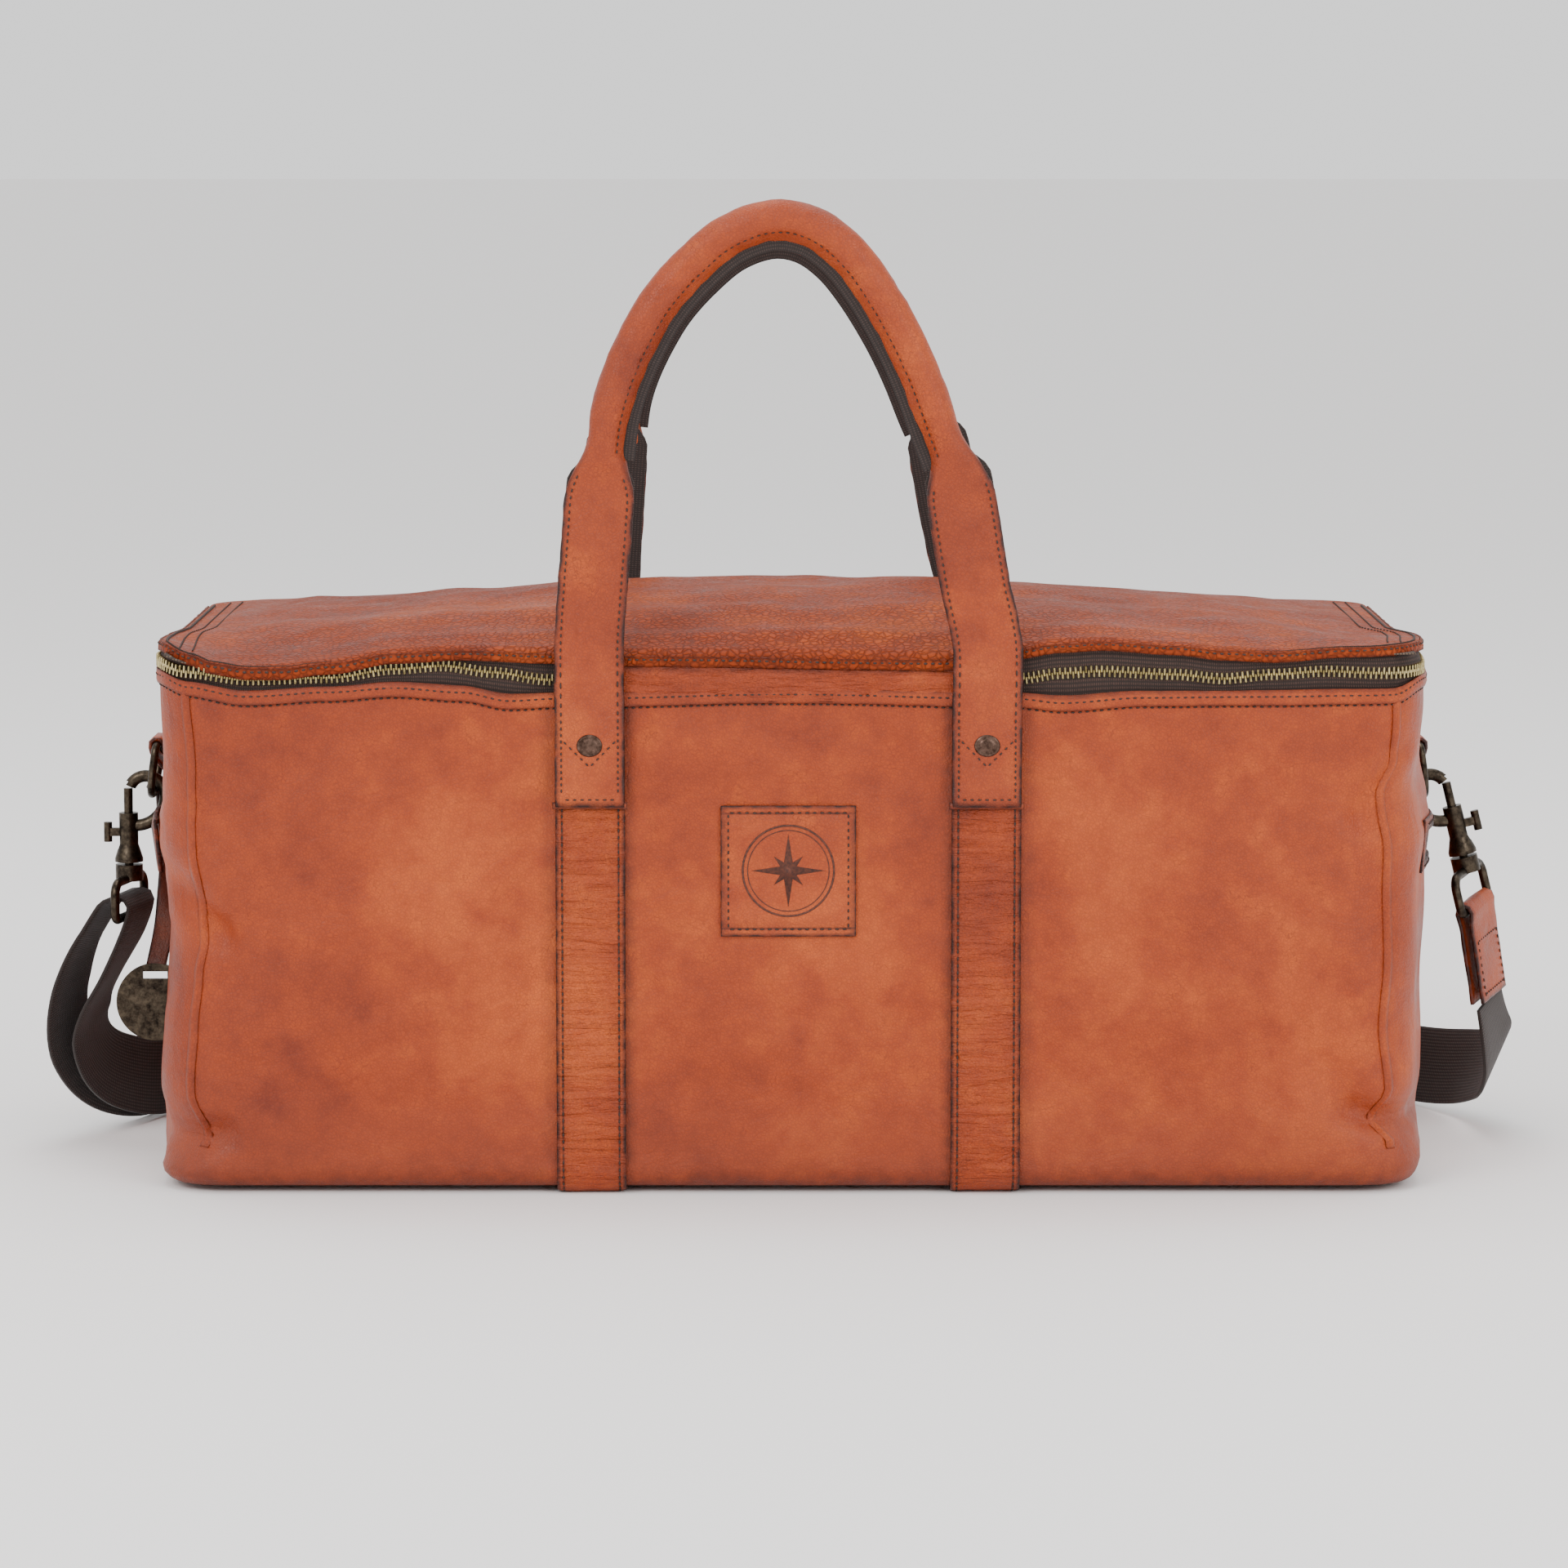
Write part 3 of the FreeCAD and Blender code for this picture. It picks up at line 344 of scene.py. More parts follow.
@dataclass(frozen=True)
class WovenFinish(Finish):
    """Cotton webbing, tape or lining: ribs one way and picks the other way."""

    dark: str = "#1D1310"
    light: str = "#3F302B"
    rib: float = 1.6
    pick: float = 1.1
    depth: float = 0.25
    mapped: bool = True

    def dress(self, tree: bpy.types.NodeTree, shader: bpy.types.Node) -> None:
        """Cross two sets of threads; the spacings are drawn a little coarse, so that they show."""
        coordinates = add_node(tree, "ShaderNodeTexCoord")
        place = coordinates.outputs["UV" if self.mapped else "Object"]
        ribs = self.wave(tree, place, "X", self.rib, 0.4)
        picks = self.wave(tree, place, "Y" if self.mapped else "Z", self.pick, 0.6)
        threads = product(tree, ribs, picks)
        shade = product(tree, noise_at(tree, place, 3, 4.0, 0.7).outputs["Fac"], threads)
        tree.links.new(ramp(tree, shade, (0.0, self.dark), (0.5, self.light)), shader.inputs["Base Color"])
        tree.links.new(relief(tree, threads, 0.9, self.depth), shader.inputs["Normal"])

    def wave(self, tree: bpy.types.NodeTree, place: bpy.types.NodeSocket, direction: str, spacing: float,
             distortion: float) -> bpy.types.NodeSocket:
        """One set of threads, spacing mm apart."""
        node = add_node(tree, "ShaderNodeTexWave",
                        {"bands_direction": direction, "wave_profile": "SIN",
                         "Scale": 2 * math.pi / 20 * per_mm(spacing), "Distortion": distortion,
                         "Detail Scale": 2.0}, {"Vector": place})
        return node.outputs["Fac"]


@dataclass(frozen=True)
class MetalFinish(Finish):
    """Plated zinc or brass with an antique patina, clouded dark and light at random."""

    dark: str = "#2E2820"
    light: str = "#6E6048"
    patch: float = 4.0

    def dress(self, tree: bpy.types.NodeTree, shader: bpy.types.Node) -> None:
        """Cloud the plating and scratch it finely."""
        place = add_node(tree, "ShaderNodeTexCoord").outputs["Object"]
        cloud = noise_at(tree, place, self.patch, 5.0, 0.7).outputs["Fac"]
        tree.links.new(ramp(tree, cloud, (0.34, self.dark), (0.66, self.light)), shader.inputs["Base Color"])
        gloss = remap(tree, cloud, 0.3, 0.7, self.roughness + 0.14, self.roughness - 0.06)
        tree.links.new(gloss, shader.inputs["Roughness"])
        pits = noise_at(tree, place, 0.9, 3.0).outputs["Fac"]
        tree.links.new(relief(tree, pits, 0.35, 0.1), shader.inputs["Normal"])


@dataclass(frozen=True)
class MatteFinish(Finish):
    """Waxed thread, fibreboard or pressed leather: dull, with fine fibres."""

    dark: str = "#20130E"
    light: str = "#3A241A"
    fibre: float = 0.8

    def dress(self, tree: bpy.types.NodeTree, shader: bpy.types.Node) -> None:
        """Fleck the colour and roughen it with fibres."""
        place = add_node(tree, "ShaderNodeTexCoord").outputs["Object"]
        fleck = noise_at(tree, place, self.fibre, 3.0).outputs["Fac"]
        tree.links.new(ramp(tree, fleck, (0.35, self.dark), (0.65, self.light)), shader.inputs["Base Color"])
        tree.links.new(relief(tree, fleck, 0.5, 0.1), shader.inputs["Normal"])


# Waxed hide on the body: fine grain, soft shine
BODY_HIDE = LeatherFinish("waxed_cowhide_body", Slot.LEATHER, roughness=0.46, coat=0.05, specular=0.3)
# The lid is cut from the belly, so its pebble is coarser; its shine is a painted mauve sheen over less real
# specular
LID_HIDE = LeatherFinish("waxed_cowhide_lid", Slot.LEATHER, roughness=0.5, coat=0.0, grain=3.2,
                         grain_depth=0.7, pore_shade=0.55, crack=7.0, crack_show=0.5, specular=0.14,
                         dark="#601E08", base="#8A340D", light="#B2521D", painted_light_mauve="#763420")
# Straps are pulled tight and crinkle across their width
STRAP_HIDE = LeatherFinish("waxed_cowhide_straps", Slot.TRIM, roughness=0.46, coat=0.05, specular=0.3,
                           crack=5.0, crack_show=0.6, wrinkle=(26.0, 26.0, 4.0), wrinkle_depth=1.0)
HANDLE_HIDE = LeatherFinish("waxed_cowhide_handles", Slot.TRIM, roughness=0.44, coat=0.06, specular=0.32,
                            crack=4.5, crack_show=0.55, wrinkle=(16.0, 16.0, 16.0), wrinkle_depth=0.35)
# Small parts are cut from darker offcuts, burnished to oxblood
TAG_HIDE = LeatherFinish("burnished_offcut_leather", Slot.DARK, roughness=0.45, dark="#3A1812",
                         base="#5A2A1C", light="#8A4226", crack=5.0)
WEBBING = WovenFinish("cotton_webbing", Slot.WEBBING, roughness=0.85, sheen=0.1)
TAPE = WovenFinish("zip_tape_twill", Slot.TAPE, roughness=0.85, dark="#21140F", light="#4C352D", rib=1.2,
                   pick=1.0, depth=0.15)
LINING = WovenFinish("cotton_lining", Slot.LINING, roughness=0.9, dark="#2E241D", light="#6B5747", rib=1.4,
                     pick=1.4, depth=0.12, mapped=False)
BRASS = MetalFinish("antique_brass_teeth", Slot.BRASS, roughness=0.32, metallic=1.0, dark="#7A6A40",
                    light="#D8C894", patch=3.0)
PLATED = MetalFinish("antique_plated_zinc", Slot.HARDWARE, roughness=0.34, metallic=1.0, dark="#1E1916",
                     light="#52483C")
RIVET_METAL = MetalFinish("antique_copper_rivets", Slot.RIVET, roughness=0.36, metallic=1.0, dark="#2E211B",
                          light="#6A5348", patch=3.0)
THREAD = MatteFinish("waxed_thread", Slot.DARK, roughness=0.7)
ENGRAVED = MatteFinish("pressed_leather", Slot.DARK, roughness=0.75, dark="#3A1A10", light="#5C2C1A",
                       fibre=1.5)
FIBREBOARD = MatteFinish("grey_fibreboard", Slot.BOARD, roughness=0.9, dark="#4A443C", light="#6E675C",
                         fibre=2.0)


# -------------------------------------------------------------------- meshing


def slice_across(bm: bmesh.types.BMesh, axis: Vector, places: Sequence[float]) -> None:
    """Cut the whole mesh by planes square to an axis."""
    for place in places:
        bmesh.ops.bisect_plane(bm, geom=bm.verts[:] + bm.edges[:] + bm.faces[:], dist=1e-5,
                               plane_co=axis * place, plane_no=axis)


def round_edges(bm: bmesh.types.BMesh, edges: Sequence[bmesh.types.BMEdge], offset: float,
                segments: int) -> None:
    """Bevel some edges to a round."""
    bmesh.ops.bevel(bm, geom=list(edges), offset=offset, offset_type="OFFSET", affect="EDGES",
                    segments=segments, profile=0.5, material=-1)


def even_cuts(low: float, high: float, step: float) -> list[float]:
    """Places between low and high, evenly spaced at about the step."""
    count = max(1, round((high - low) / step))
    return [low + (high - low) * i / count for i in range(1, count)]


def smooth_line(points: Sequence[Vector], steps: int = 6) -> list[Vector]:
    """Thread a smooth line through given points."""
    ends = [points[0] * 2 - points[1], *points, points[-1] * 2 - points[-2]]
    line = [points[0].copy()]
    for a, b, c, d in zip(ends, ends[1:], ends[2:], ends[3:]):
        for i in range(1, steps + 1):
            t = i / steps
            line.append(0.5 * ((2 * b) + (c - a) * t + (2 * a - 5 * b + 4 * c - d) * t * t
                               + (3 * b - a - 3 * c + d) * t ** 3))
    return line


def arc_points(centre: Vector, radius: float, start: float, end: float, first: Vector, second: Vector,
               count: int = 8) -> list[Vector]:
    """Points round part of a circle in the plane of two unit directions, angles in degrees."""
    turned = [math.radians(start + (end - start) * i / count) for i in range(count + 1)]
    return [centre + first * (radius * math.cos(a)) + second * (radius * math.sin(a)) for a in turned]


class Track:
    """A line with a measured length and a width direction, for strips and stitches to follow."""

    def __init__(self, points: Sequence[Vector], sides: Vector | Sequence[Vector]) -> None:
        """Measure the line.

        Args:
            points: the line, closely enough spaced to be smooth.
            sides: one width direction, or one for each point.
        """
        self.points = list(points)
        self.sides = [sides] * len(self.points) if isinstance(sides, Vector) else list(sides)
        self.marks = [0.0]
        for a, b in zip(self.points, self.points[1:]):
            self.marks.append(self.marks[-1] + (b - a).length)
        self.length = self.marks[-1]
        self.tangents = []
        for i in range(len(self.points)):
            ahead = self.points[min(i + 1, len(self.points) - 1)]
            self.tangents.append((ahead - self.points[max(i - 1, 0)]).normalized())

    def at(self, place: float) -> tuple[Vector, Vector, Vector, Vector]:
        """Return the point, tangent, side and outward normal at a length along the line."""
        place = max(0.0, min(self.length, place))
        low, high = 0, len(self.marks) - 2
        while low < high:
            middle = (low + high + 1) // 2
            if self.marks[middle] <= place:
                low = middle
            else:
                high = middle - 1
        t = (place - self.marks[low]) / max(1e-9, self.marks[low + 1] - self.marks[low])
        point = self.points[low].lerp(self.points[low + 1], t)
        tangent = self.tangents[low].lerp(self.tangents[low + 1], t).normalized()
        side = self.sides[low].lerp(self.sides[low + 1], t)
        side = (side - tangent * side.dot(tangent)).normalized()
        return point, tangent, side, tangent.cross(side)


@dataclass
class Strip:
    """A leather or woven strip with soft edges, laid along a track."""

    width: float
    thickness: float
    step: float = 5.0
    edge: float = 2.4
    pinch: float = 0.55
    wave: float = 0.0
    seed: float = 0.0
    grooves: tuple[float, ...] = ()
    rim_burn: float = 1.0
    taper: Callable[[float], float] | None = None

    def build(self, track: Track, start: float = 0.0, end: float | None = None) -> bmesh.types.BMesh:
        """Make the strip.

        Args:
            track: the line that the strip's middle follows.
            start: where it begins along the track.
            end: where it stops, or None for the whole track.

        Returns:
            A closed mesh with its weave map and burnished edges.
        """
        end = track.length if end is None else end
        bm = bmesh.new()
        middle = Matrix.Translation((0, (start + end) / 2, 0))
        bmesh.ops.create_cube(bm, size=1, matrix=middle @ Matrix.Diagonal((self.width, end - start,
                                                                           self.thickness, 1)))
        half = self.width / 2
        rim = [half - self.edge * share for share in (0.35, 1.0)]
        pressed = [g + d for g in self.grooves for d in (-0.8, 0.0, 0.8)]
        slice_across(bm, X_AXIS, sorted([-r for r in rim] + rim + pressed + even_cuts(-rim[1], rim[1], 7)))
        slice_across(bm, Y_AXIS, [start + self.edge * 0.5, *even_cuts(start, end, self.step),
                                  end - self.edge * 0.5])
        burnish = bm.verts.layers.float.new(BURNISH_AND_SHADE)
        weave = bm.loops.layers.uv.new(WEAVE_MAP)
        for bm_face in bm.faces:
            for loop in bm_face.loops:
                loop[weave].uv = (loop.vert.co.x * MM, loop.vert.co.y * MM)
        for vert in bm.verts:
            across, along, up = vert.co
            rim_in = min(half - abs(across), along - start, end - along)
            vert[burnish] = self.rim_burn * (1 - smooth(0.0, self.edge, rim_in))
            height = up * (self.pinch + (1 - self.pinch) * smooth(0.0, self.edge, rim_in))
            for groove in self.grooves:
                press = bump(across, groove, 0.55)
                vert[burnish] = max(vert[burnish], 0.8 * press)
                height -= 0.4 * press * (up > 0)
            point, _, side, normal = track.at(along)
            scale = self.taper(along) if self.taper else 1.0
            if self.wave:
                height += self.wave * noise.noise(Vector((across / 14, along / 9, self.seed))) * (up > 0)
            vert.co = point + side * across * scale + normal * height
        return bm


@dataclass
class Stitching:
    """Rows of waxed thread: one small bead of thread for each stitch."""

    pitch: float = 3.3
    long: float = 2.1
    thick: float = 0.5
    beads: bmesh.types.BMesh = field(default_factory=bmesh.new)
    count: int = 0

    def row(self, track: Track, across: float = 0.0, out: float = 0.0, start: float = 0.0,
            end: float | None = None) -> None:
        """Sew along a track.

        Args:
            track: the line to follow.
            across: how far beside the line.
            out: how far off the line, along its normal.
            start: where to begin.
            end: where to stop, or None for the whole track.
        """
        end = track.length if end is None else end
        stitches = max(1, int((end - start) / self.pitch))
        for i in range(stitches):
            point, tangent, side, normal = track.at(start + (i + 0.5) * (end - start) / stitches)
            turn = Matrix((tangent, side, normal)).transposed().to_4x4()
            place = Matrix.Translation(point + side * across + normal * out)
            size = Matrix.Diagonal((self.long / 2, self.thick, self.thick * 0.8, 1))
            bmesh.ops.create_icosphere(self.beads, subdivisions=1, radius=1, matrix=place @ turn @ size)
            self.count += 1

    def finish(self, name: str, slump: Slump, body: str = "root") -> None:
        """Settle the thread with the bag and turn it to a piece."""
        finish_piece(slump.settle(self.beads), name, THREAD, body=body)


def finish_piece(bm: bmesh.types.BMesh, name: str, finish: Finish, body: str | None = "root",
                 replaces: Sequence[str] = (), wall: float = 0.0,
                 faceted: bool = False) -> bpy.types.Object:
    """Turn a mesh in millimetres to a piece of the bag.

    Args:
        bm: the mesh, which is used up.
        name: the piece's name.
        finish: what it is made of.
        body: the body that it rides on, or None if it is blended later.
        replaces: the frame's nodes that it stands for.
        wall: the thickness given to an open shell, inwards.
        faceted: leave the faces flat.

    Returns:
        The finished object.
    """
    bm.transform(Matrix.Scale(MM, 4))
    bmesh.ops.recalc_face_normals(bm, faces=bm.faces[:])
    mesh = bpy.data.meshes.new(name)
    bm.to_mesh(mesh)
    bm.free()
    mesh.polygons.foreach_set("use_smooth", [not faceted] * len(mesh.polygons))
    mesh.materials.append(finish.material())
    piece = bpy.data.objects.new(name, mesh)
    bpy.context.scene.collection.objects.link(piece)
    if wall:
        shell = piece.modifiers.new("wall", "SOLIDIFY")
        shell.thickness, shell.offset = wall * MM, -1.0
    if body:
        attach(piece, body)
    if replaces:
        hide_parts(*replaces)
    LOG.info("%s: %d faces, %s", name, len(mesh.polygons), finish.name)
    return piece


def merge(parts: Sequence[bmesh.types.BMesh]) -> bmesh.types.BMesh:
    """Put several meshes in one, and use them up."""
    whole = bmesh.new()
    for part in parts:
        held = bpy.data.meshes.new("held")
        part.to_mesh(held)
        part.free()
        whole.from_mesh(held)
        bpy.data.meshes.remove(held)
    return whole


def lathe(profile: Sequence[tuple[float, float]], centre: Vector, axis: Vector,
          steps: int = 32) -> bmesh.types.BMesh:
    """Turn a profile of (radius, height) points about an axis through the centre."""
    bm = bmesh.new()
    across = axis.orthogonal().normalized()
    verts = [bm.verts.new(centre + across * r + axis * h) for r, h in profile]
    edges = [bm.edges.new(pair) for pair in zip(verts, verts[1:])]
    bmesh.ops.spin(bm, geom=verts + edges, cent=centre, axis=axis, angle=2 * math.pi, steps=steps,
                   use_merge=True)
    bmesh.ops.remove_doubles(bm, verts=bm.verts[:], dist=1e-4)
    return bm


# ------------------------------------------------------------ the bag's slump


@dataclass(frozen=True)
class Slump:
    """How the soft body has settled. Every piece that is sewn to it moves with it.

    The tables are (place, amount) rows in mm: heights for the seams and ends,
    lengths for the three edges of the zip. The rims are the heights of the body's
    edge, the zip and the lid's edge.
    """

    seam_x: float = 274.0
    rims: tuple[float, float, float] = (240.0, 244.0, 248.0)
    seam: dict[End, tuple[tuple[float, float], ...]] = field(default_factory=lambda: {
        End.LEFT: ((7, -4), (15, 2), (26, 7), (47, 0), (78, 1.5), (102, 4.5), (118, 7), (132, 5), (156, 3),
                   (194, 1), (233, -1)),
        End.RIGHT: ((12, 6), (24, 1), (34, -9), (49, -1), (78, -3), (117, -1), (156, -3), (186, -6), (205, 1),
                    (231, 3))})
    swell: dict[End, tuple[tuple[float, float], ...]] = field(default_factory=lambda: {
        End.LEFT: ((4, 6), (19, 8), (42, 8), (95, 6), (131, 5), (146, 7), (160, 10), (171, 9), (182, 5),
                   (202, 3), (232, 4)),
        End.RIGHT: ((8, 7), (20, 10), (40, 12), (94, 11), (140, 12), (165, 15), (177, 13), (200, 9), (217, 9),
                    (232, 8))})
    body_edge: tuple[tuple[float, float], ...] = (
        (-288, 2), (-273, -2), (-247, -6), (-210, -4), (-180, -2), (-150, -4), (-128, -8), (-105, -7),
        (0, -5), (104, -7), (125, -9), (162, -6.5), (218, -6), (273, -5.5), (290, 0))
    zip_line: tuple[tuple[float, float], ...] = (
        (-288, 2.5), (-273, -1), (-247, -4.5), (-210, -3.5), (-180, 0.5), (-158, 2), (-136, -1), (-110, -4.5),
        (106, -4), (125, -1.5), (143, -0.5), (177, -2), (199, -4), (221, -2), (244, -0.5), (273, -1.5),
        (290, -1))
    lid_edge: tuple[tuple[float, float], ...] = (
        (-288, 3), (-273, -2), (-262, -6), (-247, -8.5), (-232, -8.5), (-210, -6), (-180, -1), (-150, 0.5),
        (-108, -1), (-70, -2.4), (71, -4.3), (104, 1), (125, 4), (143, 5), (177, 3), (199, 0.5), (221, -0.5),
        (255, 2), (290, 3))
    # (x, z, spread along X, spread up, amount outwards)
    pillows: tuple[tuple[float, float, float, float, float], ...] = (
        (-205, 112, 62, 74, 5.5), (212, 112, 58, 80, 5.0), (0, 60, 60, 46, 3.0), (-30, 208, 40, 22, 1.6),
        (-116, 120, 9, 95, -2.6), (117, 120, 9, 95, -2.8), (-64, 110, 8, 80, -1.8), (64, 110, 9, 90, -2.4),
        (46, 196, 14, 26, -2.6), (-262, 190, 12, 44, -1.5), (252, 205, 16, 30, -2.0), (-240, 40, 26, 18, 1.8),
        (235, 34, 28, 16, 2.2), (0, 18, 300, 10, -1.0))
    # ((x, z), (x, z), width, depth) of folds on the front
    folds: tuple[tuple[tuple[float, float], tuple[float, float], float, float], ...] = (
        ((258, 40), (286, 31), 6.0, 7.0), ((276, 208), (262, 176), 8.0, 4.0),
        ((262, 176), (268, 120), 9.0, 2.5),
        ((-262, 30), (-286, 22), 6.0, 6.0), ((-262, 122), (-287, 147), 7.0, 6.0),
        ((-252, 96), (-262, 122), 9.0, 2.5), ((244, 60), (258, 40), 9.0, 2.5),
        ((-246, 14), (-262, 30), 8.0, 2.0))

    def fold_depth(self, x: float, z: float) -> float:
        """How far the folds pull the surface in at a place on the front."""
        total = 0.0
        here = Vector((x, z))
        for first, last, width, depth in self.folds:
            a, run = Vector(first), Vector(last) - Vector(first)
            t = max(0.0, min(1.0, (here - a).dot(run) / run.length_squared))
            total += depth * bump((here - a - run * t).length, 0.0, width)
        return total

    def rim_lift(self, x: float, z: float) -> float:
        """How far the edges of the zip rise or sag at a place on the front."""
        low, middle, high = (curve_at(t, x) for t in (self.body_edge, self.zip_line, self.lid_edge))
        body_top, zip_z, lid_rim = self.rims
        if z <= body_top:
            return low * smooth(170, 238, z)
        if z <= zip_z:
            return low + (middle - low) * (z - body_top) / (zip_z - body_top)
        if z <= lid_rim:
            return middle + (high - middle) * (z - zip_z) / (lid_rim - zip_z)
        return high * (1 - 0.75 * smooth(lid_rim, lid_rim + 20, z))

    def move(self, point: Vector) -> Vector:
        """Return where a point of the neatly drawn body has settled."""
        x, y, z = point
        front = smooth(-45, -112, y)
        back = smooth(45, 112, y)
        flank = smooth(190, 268, abs(x))
        low = smooth(0, 16, z) * (1 - smooth(236, 246, z))
        end = End.LEFT if x < 0 else End.RIGHT
        near = smooth(-18, -50, y) * (0.35 + 0.65 * smooth(-128, -60, y))
        shift = Vector((0.0, 0.0, 0.0))
        out = sum(a * bump(x, px, sx) * bump(z, pz, sz) for px, pz, sx, sz, a in self.pillows)
        ripple = (noise.noise(Vector((x / 46, z / 40, 3.1))) * 1.3
                  + noise.noise(Vector((x / 17, z / 15, 7.7))) * 0.35)
        shift.y -= front * low * (out + ripple - self.fold_depth(x, z))
        calm = 3.0 * bump(x, -150, 90) * bump(z, 110, 70) + 3.5 * bump(x, 170, 80) * bump(z, 100, 70)
        back_ripple = noise.noise(Vector((x / 50, z / 44, 13.1))) * 1.8
        shift.y += back * low * (calm + back_ripple - 2.0 * bump(abs(x), 118, 10) * bump(z, 110, 80))
        swell = curve_at(self.swell[end], z) * near
        side_ripple = noise.noise(Vector((y / 34, z / 38, 21.0 + x / 400))) * 1.6 * smooth(20, 45, abs(y))
        rear = 3.0 * smooth(40, 90, y) * bump(z, 90, 50)
        side = 1 if x > 0 else -1
        shift.x += side * flank * (swell + (side_ripple + rear) * low)
        seam = curve_at(self.seam[end], z) * bump(x, side * self.seam_x, 20)
        seam *= front * (1 - smooth(236, 244, z))
        shift.x += seam
        shift.z += self.rim_lift(x, z) * front
        swollen = 3.2 * bump(z, 244, 3.4) * smooth(246, 276, abs(x)) * front
        corner = Vector((side * smooth(255, 285, abs(x)), -smooth(-100, -130, y), 0))
        return point + shift + corner * swollen

    def settle(self, bm: bmesh.types.BMesh) -> bmesh.types.BMesh:
        """Move every vertex of a mesh with the body."""
        for vert in bm.verts:
            vert.co = self.move(vert.co)
        return bm


# --------------------------------------------------------------- sub-assemblies


@dataclass
class Bag:
    """Sizes that several sub-assemblies share."""

    half_l: float = 288.0
    half_d: float = 135.0
    corner: float = 30.0
    body_top: float = 240.0
    lid_rim: float = 248.0
    lid_wall: float = 4.4
    lid_height: float = 22.0
    bottom_r: float = 10.0
    leather: float = 2.4
    trim_t: float = 2.5
    strap_w: float = 32.0
    strap_x: float = 91.0
    row_x: float = 13.0
    zip_z: float = 244.0
    zip_end_y: float = 98.0
    pocket_z: float = 157.0
    slump: Slump = field(default_factory=Slump)

    def inset(self, x: float, y: float) -> float:
        """How far a point lies inside the bag's plan."""
        dx = abs(x) - (self.half_l - self.corner)
        dy = abs(y) - (self.half_d - self.corner)
        if dx > 0 and dy > 0:
            return self.corner - math.hypot(dx, dy)
        return self.corner - max(dx, dy)

    def crown(self, x: float, y: float) -> float:
        """The height of the lid's outer face above a point of the plan."""
        share = curve_at(((0, 0.0), (6, 0.22), (28, 0.55), (75, 0.9), (130, 1.0)), self.inset(x, y))
        share *= curve_at(((-284, 0.0), (-262, 0.22), (-229, 0.42), (-150, 0.68), (-100, 0.86), (0, 1.0),
                           (60, 1.0), (104, 0.9), (190, 0.56), (274, 0.1)), x)
        rise = self.lid_height - self.lid_wall + 2.5 * bump(y, 60, 60)
        return self.lid_rim + self.lid_wall + share * rise

    def welt(self, z: float, width: float, out: float) -> bmesh.types.BMesh:
        """A turned edge of hide that runs round the front and both ends."""
        track = Track(self.plan(out, z, self.zip_end_y), Z_AXIS)
        bm = Strip(width, 1.7, step=4.2, edge=1.5, pinch=0.4, wave=0.5, rim_burn=0.55).build(track)
        return self.slump.settle(bm)

    def plan(self, offset: float, z: float, rear: float) -> list[Vector]:
        """The plan's outline from the left end's rear, round the front, to the right end's rear."""
        r = self.corner + offset
        a, b = self.half_l - self.corner, self.half_d - self.corner
        left = arc_points(Vector((-a, -b, z)), r, 180, 270, X_AXIS, Y_AXIS)
        right = arc_points(Vector((a, -b, z)), r, 270, 360, X_AXIS, Y_AXIS)
        start, finish = Vector((-a - r, rear, z)), Vector((a + r, rear, z))
        points = [start.lerp(left[0], i / 20) for i in range(20)] + left
        points += [left[-1].lerp(right[0], i / 60) for i in range(1, 60)] + right
        return points + [right[-1].lerp(finish, i / 20) for i in range(1, 21)]

    def round_box(self, low: float, high: float, inset: float = 0.0) -> bmesh.types.BMesh:
        """A box on the bag's plan, or inside it by inset, with round upright edges."""
        bm = bmesh.new()
        size = Matrix.Diagonal((2 * (self.half_l - inset), 2 * (self.half_d - inset), high - low, 1))
        bmesh.ops.create_cube(bm, size=1, matrix=Matrix.Translation((0, 0, (low + high) / 2)) @ size)
        upright = [e for e in bm.edges if abs(e.verts[0].co.z - e.verts[1].co.z) > 1]
        round_edges(bm, upright, self.corner - inset, 8)
        return bm


